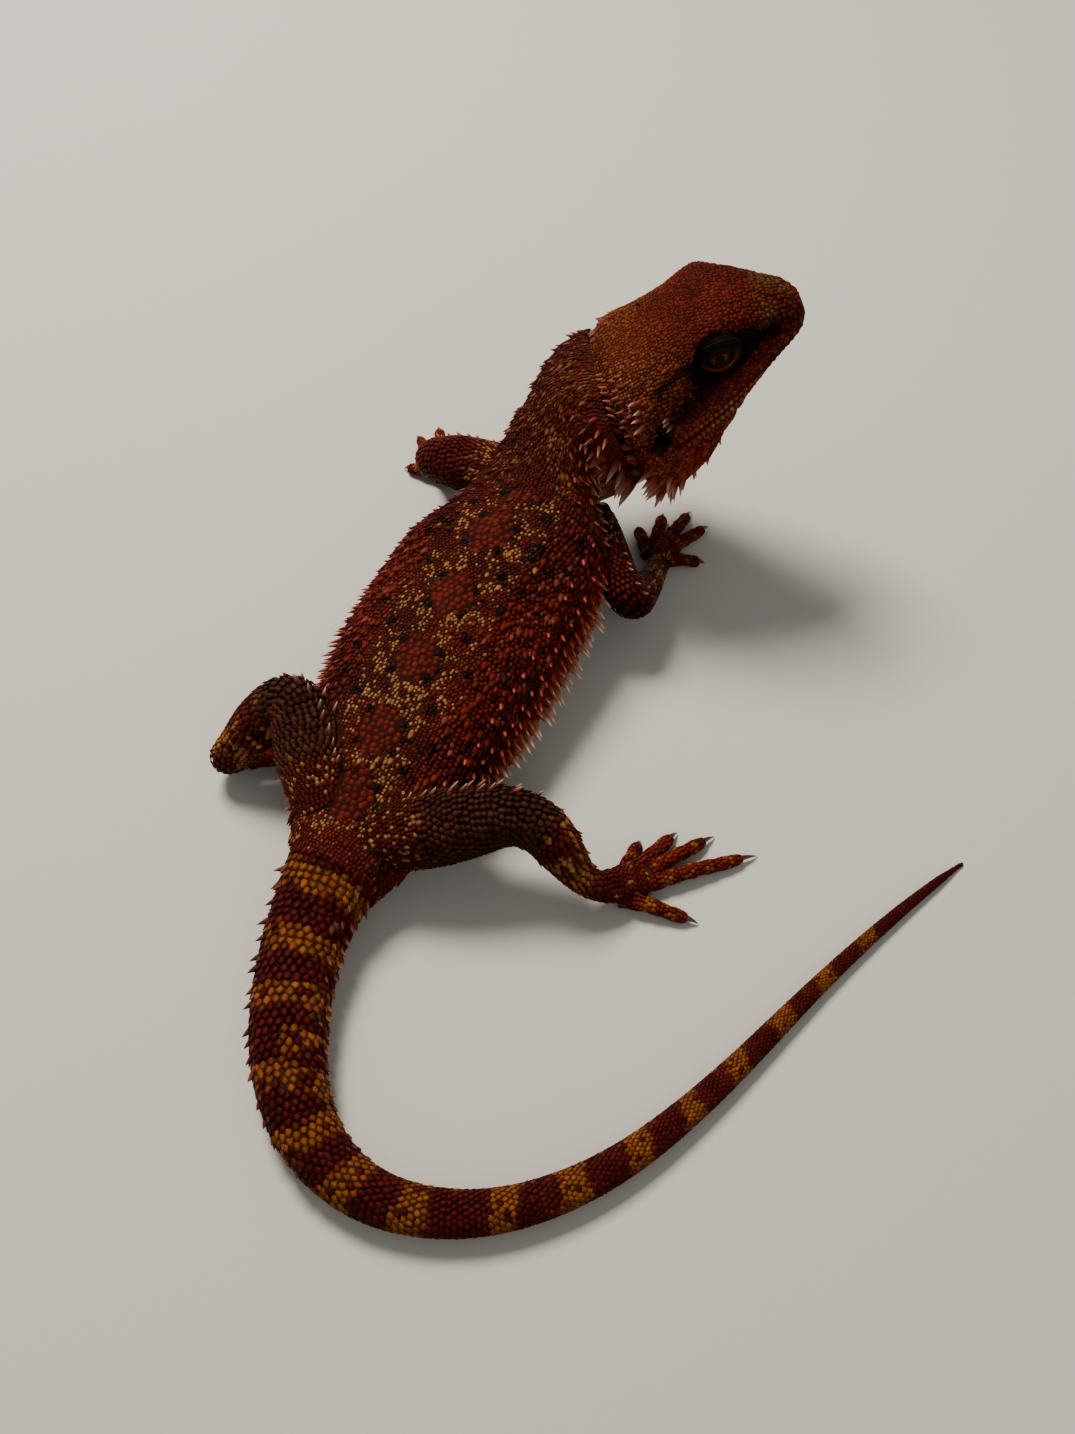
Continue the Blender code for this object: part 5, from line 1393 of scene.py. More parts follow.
    def ease(self, mesh: bpy.types.Mesh) -> None:
        """Round the creases where limbs leave the body, and lay what would pass the floor on it.

        Points near a sharp edge outside the head move to the mean of their neighbours, some rounds over.
        """
        points = Meshes.read(mesh.vertices, "co", 3) / MM
        edges = Meshes.read(mesh.edges, "vertices", 2, np.int64)
        normals = Meshes.read(mesh.polygons, "normal", 3)
        totals = Meshes.read(mesh.polygons, "loop_total", 1, np.int64)[:, 0]
        loop_edges = Meshes.read(mesh.loops, "edge_index", 1, np.int64)[:, 0]
        sums = np.zeros((len(edges), 3))
        np.add.at(sums, loop_edges, np.repeat(normals, totals, axis=0))
        sharp = np.linalg.norm(sums, axis=1) < self.sharp_below
        ahead = (points - np.array(self.body.head.back)) @ self.body.head.axes()[0]
        weight = np.zeros(len(points))
        weight[edges[sharp].ravel()] = 1.0
        weight[ahead > self.head_margin] = 0.0
        for _ in range(self.spread_rounds):
            spread = weight.copy()
            np.maximum.at(spread, edges[:, 0], 0.8 * weight[edges[:, 1]])
            np.maximum.at(spread, edges[:, 1], 0.8 * weight[edges[:, 0]])
            weight = spread
        weight[ahead > self.head_margin] = 0.0
        degree = np.bincount(edges.ravel(), minlength=len(points))
        for _ in range(self.ease_rounds):
            total = np.zeros_like(points)
            for axis in range(3):
                total[:, axis] = (np.bincount(edges[:, 0], points[edges[:, 1], axis], len(points))
                                  + np.bincount(edges[:, 1], points[edges[:, 0], axis], len(points)))
            mean = total / np.maximum(degree, 1)[:, None]
            points += self.ease_share * weight[:, None] * (mean - points)
        points[:, 2] = np.maximum(points[:, 2], 0.0)
        mesh.vertices.foreach_set("co", (points * MM).astype(np.float32).ravel())
        mesh.update()


@dataclass
class Sites:
    """Roots for scales: their places, angles and widths."""

    place: Array
    angle: Array
    width: Array

    def keep(self, wanted: Array) -> "Sites":
        """Return the sites where the flag is true."""
        return Sites(self.place[wanted], self.angle[wanted], self.width[wanted])


class ScaleKind(Enum):
    """Kinds of scale by the look of their surface."""

    KEELED = "keeled"
    GRANULE = "granule"
    PLATE = "plate"
    THORN = "thorn"


@dataclass
class Coat:
    """All the scales, laid in staggered rows over each form and stamped on the skin."""

    body: Body
    marks: Markings
    drape: Drape
    seed: int = 5
    end_reach: float = 1.2
    eye_reach: float = 3.35

    def __post_init__(self) -> None:
        """Make the random source, the templates and the surface samples that tell what lies buried."""
        self.draw = np.random.default_rng(self.seed)
        self.templates = {ScaleKind.KEELED: Template.keeled(), ScaleKind.GRANULE: Template.granule(),
                          ScaleKind.PLATE: Template.plate(), ScaleKind.THORN: Template.thorn()}
        self.samples = {form.name: self.sample(form) for form in self.forms()}

    def forms(self) -> list[Form]:
        """Return every form."""
        body = self.body
        return [body.tail, body.trunk, body.neck, body.head, *body.limbs.values(), *body.toes]

    @staticmethod
    def sample(form: Form) -> tuple[Array, Array, Array, Array, Array]:
        """Return a form's middles, the directions ahead, right and up, and the radius by polar angle."""
        rows = max(8, int((form.end - form.start) * form.unit_length / 0.8))
        place = np.linspace(form.start, form.end, rows)
        centre, right, up = form.frame(place)
        right, up = np.broadcast_to(right, centre.shape), np.broadcast_to(up, centre.shape)
        turn = TAU * np.arange(POLAR_STEPS + 1) / POLAR_STEPS - math.pi
        dense = TAU * np.arange(2 * POLAR_STEPS + 1) / (2 * POLAR_STEPS)
        radius = []
        for here in place:
            across, height = form.outline(np.full(len(dense), here), dense, -SKIN_DEPTH)
            polar = np.arctan2(height, across)
            order = np.argsort(polar)
            radius.append(np.interp(turn, polar[order], np.hypot(across, height)[order], period=TAU))
        return centre, np.cross(up, right), right, up, np.array(radius)

    def buried(self, points: Array, own: Form, margin: float = 0.15) -> Array:
        """Return whether each point lies inside another form.

        It does where its distance from the form's nearest middle is below the outline's radius at its own
        polar angle, and it doesn't lie beyond either end.
        """
        hidden = np.zeros(len(points), bool)
        for other in self.forms():
            if other is own or self.joined(own, other):
                continue
            centre, ahead, right, up, radius = self.samples[other.name]
            reach = radius.max() + 1.0
            low, high = centre.min(axis=0) - reach, centre.max(axis=0) + reach
            near = np.where(np.all((points > low) & (points < high), axis=1) & ~hidden)[0]
            if not len(near):
                continue
            place = np.argmin(np.linalg.norm(points[near][:, None] - centre[None], axis=2), axis=1)
            offset = points[near] - centre[place]
            run = np.sum(offset * ahead[place], axis=1)
            across, height = np.sum(offset * right[place], axis=1), np.sum(offset * up[place], axis=1)
            turn = np.round((np.arctan2(height, across) + math.pi) / TAU * POLAR_STEPS).astype(int)
            within = np.hypot(across, height) < radius[place, turn] - margin
            hidden[near] |= within & (np.abs(run) < self.end_reach)
        return hidden

    @staticmethod
    def joined(own: Form, other: Form) -> bool:
        """Return whether two forms follow one another along the axis, so that neither hides the other."""
        axis = {"tail", "trunk", "neck", "head"}
        return own.name in axis and other.name in axis

    def rows(self, form: Form, width: Callable[[Array, Array], Array], low: float, high: float,
             pitch: float = 0.74, loose: float = 1.0) -> Sites:
        """Return staggered rows of sites round a form.

        The rows stand a share of the scales' width apart. In a row the arc over the width adds up round the
        outline, and the sites stand where that sum passes whole numbers, or halves in every other row.

        Args:
            form: the form.
            width: function of place and angle that gives the scale's width.
            low: first place.
            high: last place.
            pitch: distance between rows over the width of the scales on top.
            loose: how far the sites stray from their rows.

        Returns:
            The sites.
        """
        place, number, places, angles, widths = low, 0, [], [], []
        dense = -math.pi / 2 + TAU * np.arange(RING_STEPS + 1) / RING_STEPS
        while place <= high:
            here = np.full(len(dense), place)
            points = form.surface(here, dense)
            size = width(here, dense)
            arc = np.linalg.norm(np.diff(points, axis=0), axis=1) / (0.5 * (size[1:] + size[:-1]))
            total = np.concatenate([[0], np.cumsum(arc)])
            count = max(4, int(round(total[-1])))
            share = (np.arange(count) + 0.5 * (number % 2)) / count
            angle = np.interp(share * total[-1], total, dense)
            places.append(np.full(count, place))
            angles.append(angle)
            widths.append(np.interp(angle, dense, size))
            place += pitch * float(size[RING_STEPS // 2]) / form.unit_length
            number += 1
        found = Sites(np.concatenate(places), np.concatenate(angles), np.concatenate(widths))
        wander = found.width / form.unit_length
        found.place = found.place + 0.07 * loose * wander * self.draw.standard_normal(len(wander))
        found.place = np.clip(found.place, form.start, form.end)
        radius = np.maximum(self.girth(form, found.place), 0.5)
        stray = 0.06 * loose * found.width / radius
        found.angle = found.angle + stray * self.draw.standard_normal(len(wander))
        return found

    @staticmethod
    def girth(form: Form, place: Array) -> Array:
        """Return the outline's half width at each place."""
        return np.abs(form.outline(place, np.zeros_like(place), 0.0)[0])

    def lay(self, stamped: Stamped, form: Form, sites: Sites, kind: ScaleKind, tall: float, lean: float = 0.0,
            long: float = 1.0, spread: float = 0.10, tint: float = 1.0) -> None:
        """Stamp one kind of scale at the sites.

        Args:
            stamped: where the copies are gathered.
            form: the form that carries them.
            sites: their places, angles and widths.
            kind: which template.
            tall: height over the width.
            lean: how far the outward direction leans to the tail.
            long: length over the width.
            spread: random spread of the sizes.
            tint: brightness of the scales.
        """
        points, normal, back, side = form.basis(sites.place, sites.angle)
        seen = ~self.buried(points, form) & (points[:, 2] > 0.03)
        sites = sites.keep(seen)
        points, normal, back, side = points[seen], normal[seen], back[seen], side[seen]
        count = len(points)
        if not count:
            return
        base, tip = self.marks.colours(form, sites.place, sites.angle, points)
        jitter = np.exp(0.17 * self.draw.standard_normal(count))[:, None] * tint
        turn = 0.10 * self.draw.standard_normal(count)[:, None]
        out = unit(normal + (lean + 0.05 * self.draw.standard_normal(count))[:, None] * back
                   + 0.06 * self.draw.standard_normal(count)[:, None] * side)
        axes = stamp_axes(unit(back + turn * side), out)
        size = sites.width * (1 + spread * self.draw.uniform(-1, 1, count))
        height = size * tall * (1 + 0.15 * self.draw.uniform(-1, 1, count))
        sizes = np.stack([size, size * long, height], axis=1)
        patches = self.drape.place(form, sites.place, sites.angle)
        raised = LIMB_SCALE_LIFT if isinstance(form, Limb) else SCALE_SINK
        roots = points + raised * normal
        stamped.add(self.templates[kind], roots, axes, sizes, base * jitter, tip * jitter, patches)

    def split(self, sites: Sites, share: Array | float) -> tuple[Sites, Sites]:
        """Return the sites in two sets, the second picked at random by one share or by a share for each."""
        chosen = self.draw.uniform(0, 1, len(sites.place)) < share
        return sites.keep(~chosen), sites.keep(chosen)

    def zone(self, form: Form, sites: Sites) -> Array:
        """Return which scales a place on the trunk has.

        Args:
            form: the trunk.
            sites: the places.

        Returns:
            0 for the back's small scales, 1 for the flanks' larger ones, 2 for a saddle's plates and 3 for
            the belly's.
        """
        points = form.surface(sites.place, sites.angle)
        across = form.outline(sites.place, sites.angle, 0.0)[0] + 0.5
        near = self.marks.saddle_distance(sites.place, across, points)
        found = np.where(np.abs(across) + 1.2 * cloud(points, 2.5, 71) > 8.0, 1, 0)
        found = np.where((near < 1.0) & (np.sin(sites.angle) > 0), 2, found)
        return np.where(np.sin(sites.angle) < -0.45, 3, found)

    def trunk(self) -> tuple[Stamped, Stamped]:
        """Return the back's and the underside's scales.

        Each zone has rows of its own: small keeled scales over the back, smooth plates on the saddles, larger
        scales with thorns in the flanks and plates on the belly.
        """
        form, over, under = self.body.trunk, Stamped(), Stamped()
        zones = []
        for number, size in enumerate((0.62, 0.86, 1.08, 1.0)):
            sites = self.rows(form, lambda place, angle, size=size: np.full(place.shape, size),
                              form.start + 0.3, form.end - 0.1, pitch=0.8, loose=1.8)
            zones.append(sites.keep(self.zone(form, sites) == number))
        small, large, plates, belly = zones
        self.lay(under, form, belly, ScaleKind.PLATE, 0.5, long=1.15)
        self.lay(over, form, plates, ScaleKind.PLATE, 0.8, spread=0.14)
        plain, thorny = self.split(small, 0.05)
        self.lay(over, form, plain, ScaleKind.KEELED, 0.85, lean=0.04, spread=0.2)
        thorny.width = thorny.width * 1.5
        self.lay(over, form, thorny, ScaleKind.THORN, 0.85, lean=0.1, long=1.1, spread=0.2)
        plain, thorny = self.split(large, 0.17)
        self.lay(over, form, plain, ScaleKind.KEELED, 0.9, lean=0.05, spread=0.2)
        thorny.width = thorny.width * 1.35
        self.lay(over, form, thorny, ScaleKind.THORN, 0.95, lean=0.15, long=1.1, spread=0.25, tint=1.3)
        return over, under

    def neck(self) -> Stamped:
        """Return the neck's scales: small keeled ones with many thorns."""
        form, made = self.body.neck, Stamped()
        sites = self.rows(form, lambda place, angle: 0.66 + 0.14 * smooth(-np.sin(angle), 0.3, 0.8),
                          0.01, 1.0)
        plain, thorny = self.split(sites, 0.16 * smooth(np.sin(sites.angle), -0.7, 0.2))
        self.lay(made, form, plain, ScaleKind.KEELED, 0.8, lean=0.06, long=1.1, spread=0.2)
        thorny.width = thorny.width * 1.4
        self.lay(made, form, thorny, ScaleKind.THORN, 0.9, lean=0.15, long=1.05, spread=0.25)
        return made

    def tail(self) -> Stamped:
        """Return the tail's scales: strong keeled whorls that shrink towards the tip."""
        form, made = self.body.tail, Stamped()

        def width(place: Array, _angle: Array) -> Array:
            """Return the scale's width, which shrinks with the tail's own."""
            return 0.42 + 0.84 * smooth(curve(form.half_width, place), 0.3, 5.6)

        sites = self.rows(form, width, form.start, form.end - 0.6, pitch=0.8)
        low = np.sin(sites.angle) < -0.5
        self.lay(made, form, sites.keep(low), ScaleKind.KEELED, 0.35, long=1.1)
        top = sites.keep(~low)
        plain, thorny = self.split(top, 0.05 * (1 - smooth(top.place, 30, 60)))
        plain.width = plain.width * 1.06
        self.lay(made, form, plain, ScaleKind.KEELED, 0.5, spread=0.08)
        self.lay(made, form, thorny, ScaleKind.THORN, 0.75, lean=0.15, long=1.1)
        return made

    def limbs(self) -> Stamped:
        """Return the limbs' scales: keeled above, smaller and smooth below."""
        made = Stamped()
        for form in self.body.limbs.values():
            hind = form.name.startswith("hind")
            large = 1.0 if hind else 0.86

            def width(place: Array, angle: Array, large: float = large, end: float = form.end) -> Array:
                """Return the scale's width: smaller at the root, towards the end and below."""
                lower = smooth(-np.sin(angle), 0.2, 0.7)
                root = 0.3 * (1 - smooth(place, 7.0, 9.0))
                return (large - root - 0.32 * smooth(place / end, 0.62, 0.95)) * (1 - 0.28 * lower)

            sites = self.rows(form, width, 0.04 * form.end, form.end - 0.4)
            low = np.sin(sites.angle) < -0.55
            self.lay(made, form, sites.keep(low), ScaleKind.GRANULE, 0.85)
            plain, thorny = self.split(sites.keep(~low), 0.05 if hind else 0.03)
            self.lay(made, form, plain, ScaleKind.KEELED, 0.7, lean=0.02, long=0.95, spread=0.14)
            self.lay(made, form, thorny, ScaleKind.THORN, 0.9, lean=0.12, long=1.1)
        return made

    def digits(self) -> Stamped:
        """Return the scales in rings round each finger and toe."""
        made = Stamped()
        for form in self.body.toes:
            sites = self.rows(form, lambda place, angle, length=form.length:
                              0.72 - 0.1 * smooth(place / length, 0.5, 0.9), 0.3, form.end - 0.25, pitch=0.8)
            self.lay(made, form, sites, ScaleKind.GRANULE, 0.85, long=1.1)
        return made

    def head(self) -> tuple[Stamped, Stamped]:
        """Return the scales of the crown and of the jaws: close grains, spiny at the cheeks."""
        form, crown, jaws = self.body.head, Stamped(), Stamped()

        def width(place: Array, angle: Array) -> Array:
            """Return the scale's width: larger on the crown and the snout."""
            rise = np.sin(angle)
            return 0.58 + 0.1 * smooth(rise, 0.5, 0.9) * smooth(place, 12, 22) + 0.14 * smooth(place, 24, 29)

        sites = self.rows(form, width, 0.1, form.end - 0.1, pitch=0.84, loose=2.4)
        across, height = form.outline(sites.place, sites.angle, 0.0)
        gap = form.mouth_gap(sites.place, height)
        mouth = (np.abs(gap) < 1.15) & (sites.place > form.mouth_end) & (np.abs(across) > 1.2)
        away = np.hypot(sites.place - form.eye_at[0], height - form.eye_at[2])
        eye = (away < self.eye_reach) & (np.abs(across) > 5)
        ear = form.from_ear(sites.place, height) < 1.15
        nostril = form.from_nostril(sites.place, height) < 1.5
        sites = sites.keep(~(mouth | eye | (ear & (np.abs(across) > 8)) | (nostril & (np.abs(across) > 3))))
        across, height = form.outline(sites.place, sites.angle, 0.0)
        gap = form.mouth_gap(sites.place, height)
        rear = (1 - smooth(sites.place, 5.0, 13.0)) * smooth(np.abs(across), 3.0, 8.0)
        beard = smooth(-gap, 1.5, 4.0) * (1 - smooth(sites.place, 14.0, 22.0))
        plain, thorny = self.split(sites, np.clip(0.10 * rear + 0.45 * beard, 0, 0.5))
        thorny.width = thorny.width * 1.4
        for made, above in ((crown, True), (jaws, False)):
            part = plain.keep((np.sin(plain.angle) > 0) == above)
            self.lay(made, form, part, ScaleKind.GRANULE, 0.9, lean=0.1, long=1.05, spread=0.28)
            part = thorny.keep((np.sin(thorny.angle) > 0) == above)
            self.lay(made, form, part, ScaleKind.THORN, 1.1, lean=0.4, long=1.2, spread=0.25, tint=1.25)
        self.lips(jaws)
        return crown, jaws

    def lips(self, made: Stamped) -> None:
        """Add the rows of plates along both lips: even steps of place just above and below the mouth."""
        form = self.body.head
        for offset, width, step in ((0.6, 0.86, 0.88), (-0.62, 0.86, 0.86)):
            place = np.arange(form.mouth_end + 0.4, 31.4, step)
            angle = np.interp(place, form.mouth_places, form.mouth_angles)
            radius = np.maximum(self.girth(form, place), 1.0)
            angle = angle + offset / radius
            for side in (angle, math.pi - angle):
                self.lay(made, form, Sites(place, side, np.full(len(place), width)), ScaleKind.GRANULE, 0.8,
                         spread=0.05, tint=1.15)


class RowWay(Enum):
    """Which way a row of spines runs over its form."""

    ALONG = "along"
    ACROSS = "across"


@dataclass(frozen=True)
class SpineRow:
    """One row of spines on both sides of a form.

    The row stands at one angle (degrees above the side) or at one place, and runs from first to last in the
    other. Lengths are at its first, middle and last spine, and cream is how pale its tips are.
    """

    form: str
    way: RowWay
    at: float
    first: float
    last: float
    count: int
    lengths: tuple[float, float, float]
    radius: float
    lean: float
    lift: float = 0.0
    cream: float = 0.6


@dataclass
class Spines:
    """The spines: lateral fringes, neck clusters, beard, jaw corners, thighs and tail base."""

    body: Body
    marks: Markings
    drape: Drape
    seed: int = 23
    rows: tuple[SpineRow, ...] = (
        SpineRow("trunk", RowWay.ALONG, -3.0, 1.0, 55.5, 40, (2.2, 3.6, 2.9), 0.78, 0.55, 0.05, 0.95),
        SpineRow("trunk", RowWay.ALONG, 3.5, 2.0, 55.0, 34, (1.3, 2.2, 1.8), 0.48, 0.65, 0.08, 0.45),
        SpineRow("trunk", RowWay.ALONG, -9.5, 4.0, 54.0, 30, (1.0, 1.8, 1.5), 0.45, 0.6, 0.0, 0.55),
        SpineRow("trunk", RowWay.ALONG, 11.0, 3.0, 54.0, 26, (1.0, 1.6, 1.4), 0.48, 0.75, 0.12, 0.12),
        SpineRow("trunk", RowWay.ALONG, 20.0, 3.0, 54.0, 20, (0.9, 1.4, 1.4), 0.48, 0.85, 0.15, 0.1),
        SpineRow("trunk", RowWay.ALONG, 34.0, 4.0, 55.0, 16, (0.8, 1.2, 1.3), 0.48, 1.0, 0.1, 0.15),
        SpineRow("neck", RowWay.ALONG, 2.0, 0.04, 0.96, 11, (2.2, 2.1, 2.4), 0.5, 0.7, 0.0, 0.6),
        SpineRow("neck", RowWay.ALONG, -12.0, 0.1, 0.96, 9, (1.6, 1.8, 2.2), 0.5, 0.7, 0.0, 0.5),
        SpineRow("neck", RowWay.ALONG, 18.0, 0.08, 0.94, 9, (1.5, 1.6, 2.0), 0.48, 0.85, 0.05, 0.25),
        SpineRow("neck", RowWay.ALONG, 34.0, 0.1, 0.92, 7, (1.1, 1.3, 1.5), 0.46, 0.95, 0.1, 0.12),
        SpineRow("neck", RowWay.ALONG, 55.0, 0.12, 0.9, 6, (1.0, 1.1, 1.2), 0.44, 1.1, 0.1, 0.1),
        SpineRow("tail", RowWay.ALONG, 8.0, 8.2, 52.0, 20, (1.9, 1.4, 0.6), 0.55, 0.9, 0.08, 0.2),
        SpineRow("tail", RowWay.ALONG, -10.0, 9.0, 46.0, 14, (1.4, 1.0, 0.6), 0.45, 1.0, 0.02, 0.2),
        SpineRow("tail", RowWay.ALONG, 30.0, 9.0, 50.0, 15, (1.2, 0.9, 0.6), 0.45, 1.1, 0.1, 0.1),
        SpineRow("neck", RowWay.ACROSS, 0.83, -64.0, -2.0, 9, (3.8, 4.4, 3.4), 0.95, 1.5, -0.05, 0.6),
        SpineRow("neck", RowWay.ACROSS, 0.93, -74.0, -14.0, 10, (3.4, 4.0, 3.4), 0.9, 1.2, -0.1, 0.7),
        SpineRow("neck", RowWay.ACROSS, 0.74, -50.0, -10.0, 6, (2.4, 3.0, 2.4), 0.6, 1.5, 0.0, 0.5),
        SpineRow("head", RowWay.ACROSS, 1.0, -62.0, -8.0, 12, (3.0, 3.5, 3.2), 0.8, 0.85, -0.15, 0.85),
        SpineRow("head", RowWay.ACROSS, 2.8, -66.0, -16.0, 11, (2.6, 3.0, 2.6), 0.78, 0.75, -0.2, 0.85),
        SpineRow("head", RowWay.ACROSS, 4.7, -66.0, -24.0, 11, (2.2, 2.5, 2.0), 0.7, 0.7, -0.2, 0.85),
        SpineRow("head", RowWay.ACROSS, 0.8, 4.0, 70.0, 9, (2.7, 1.9, 1.1), 0.5, 1.25, 0.12, 0.3),
        SpineRow("head", RowWay.ACROSS, 2.4, 10.0, 60.0, 7, (1.6, 1.2, 0.9), 0.46, 1.3, 0.12, 0.15),
        SpineRow("head", RowWay.ACROSS, 4.6, 13.0, 34.0, 4, (2.0, 1.8, 1.3), 0.5, 1.1, 0.1, 0.8),
        SpineRow("head", RowWay.ACROSS, 8.2, 1.0, 12.0, 3, (1.5, 1.5, 1.3), 0.46, 1.2, 0.1, 0.7),
        SpineRow("head", RowWay.ACROSS, 1.3, -86.0, -62.0, 6, (2.8, 3.2, 3.4), 0.5, 0.7, -0.1, 0.9),
        SpineRow("head", RowWay.ACROSS, 6.4, -86.0, -38.0, 9, (2.3, 2.7, 2.4), 0.48, 0.75, -0.1, 0.8),
        SpineRow("head", RowWay.ACROSS, 8.8, -86.0, -38.0, 9, (2.0, 2.2, 2.0), 0.46, 0.9, -0.1, 0.6),
        SpineRow("head", RowWay.ACROSS, 11.4, -86.0, -40.0, 8, (1.6, 1.7, 1.5), 0.44, 1.05, -0.1, 0.5),
        SpineRow("head", RowWay.ACROSS, 14.2, -84.0, -42.0, 7, (1.2, 1.3, 1.1), 0.4, 1.15, -0.05, 0.4),
        SpineRow("hind", RowWay.ALONG, 60.0, 0.16, 0.46, 8, (1.4, 1.8, 1.5), 0.48, 0.8, 0.15, 0.6),
        SpineRow("hind", RowWay.ALONG, 25.0, 0.14, 0.46, 8, (1.4, 1.9, 1.6), 0.48, 0.8, 0.15, 0.7),
        SpineRow("hind", RowWay.ALONG, -5.0, 0.14, 0.46, 7, (1.3, 1.7, 1.5), 0.46, 0.8, 0.1, 0.6),
        SpineRow("hind", RowWay.ALONG, 35.0, 0.5, 0.76, 5, (1.2, 1.2, 0.9), 0.42, 0.8, 0.1, 0.5),
        SpineRow("fore", RowWay.ALONG, 60.0, 0.24, 0.42, 5, (1.1, 1.3, 1.1), 0.42, 0.8, 0.15, 0.5),
        SpineRow("fore", RowWay.ALONG, 40.0, 0.46, 0.74, 5, (1.1, 1.2, 0.9), 0.42, 0.8, 0.1, 0.5),
    )

    def build(self, coat: Coat) -> tuple[Stamped, Stamped]:
        """Return the spines of the body and those of the head."""
        draw = np.random.default_rng(self.seed)
        groups = {"body": Stamped(), "head": Stamped()}
        for row in self.rows:
            for form, only in self.carriers(row.form):
                for side in (1, -1):
                    group = groups["head" if form.name == "head" else "body"]
                    self.plant(group, form, row, side, only, draw, coat)
        return groups["body"], groups["head"]

    def carriers(self, name: str) -> list[tuple[Form, int]]:
        """Return the forms that a row's name stands for, each with its only side, or 0 for both."""
        body = self.body
        plain = {"trunk": body.trunk, "neck": body.neck, "tail": body.tail, "head": body.head}
        if name in plain:
            return [(plain[name], 0)]
        return [(limb, 1 if limb.name.endswith("left") else -1) for key, limb in body.limbs.items()
                if key.startswith(name)]

    def plant(self, group: Stamped, form: Form, row: SpineRow, side: int, only: int,
              draw: np.random.Generator, coat: Coat) -> None:
        """Stamp one side of a row: even shares with a little scatter, leaning to the tail."""
        if only and side != only:
            return
        share = np.linspace(0, 1, row.count) + draw.uniform(-0.25, 0.25, row.count) / row.count
        share = np.clip(share, 0, 1)
        run = row.first + (row.last - row.first) * share
        at = np.full(row.count, row.at)
        place, degrees = (run, at) if row.way is RowWay.ALONG else (at, run)
        if form.name in self.body.limbs:
            place = place * form.end
        place = place + draw.uniform(-0.25, 0.25, row.count) / form.unit_length
        place = np.clip(place, form.start, form.end)
        angle = np.radians(degrees + draw.uniform(-1.5, 1.5, row.count))
        angle = angle if side == 1 else math.pi - angle
        points, normal, back, _ = form.basis(place, angle)
        lean = (row.lean * (1 + draw.uniform(-0.2, 0.2, row.count)))[:, None] * back
        out = unit(normal + lean + np.array([0.0, 0.0, row.lift])
                   + 0.08 * draw.standard_normal((row.count, 3)))
        length = np.interp(share, (0, 0.5, 1), row.lengths) * (1 + draw.uniform(-0.16, 0.14, row.count))
        seen = ~coat.buried(points + 0.3 * normal, form, 0.0) & (points[:, 2] > 0.5)
        seen &= (points + out * length[:, None])[:, 2] > 0.1
        axes = stamp_axes(back, out)
        radius = row.radius * (1 + draw.uniform(-0.12, 0.12, row.count))
        sizes = np.stack([radius, radius * 0.9, length], axis=1)
        base, _ = self.marks.colours(form, place, angle, points)
        # Painted light: the trunk's right side stands lit, with more flame and earlier, paler tips; the left
        # spines of the trunk and tail stand shaded, with three tenths of the cream.
        lit_side_fringe = form.name == "trunk" and side > 0
        fire = 0.1 if form.name == "tail" else 0.85 if lit_side_fringe else 0.35
        warm = mixed(base, Palette.FLAME, fire)
        cream = row.cream * (0.3 if side < 0 and form.name in ("trunk", "tail") else 1.0)
        pale = mixed(warm * 1.4, Palette.CREAM, cream)
        bake = self.drape.place(form, place, angle)
        group.add(Template.spine(), (points - 0.15 * normal)[seen], axes[seen], sizes[seen], warm[seen],
                  pale[seen], bake[seen], gamma=2.4 if lit_side_fringe else 3.2, gap=0.8)


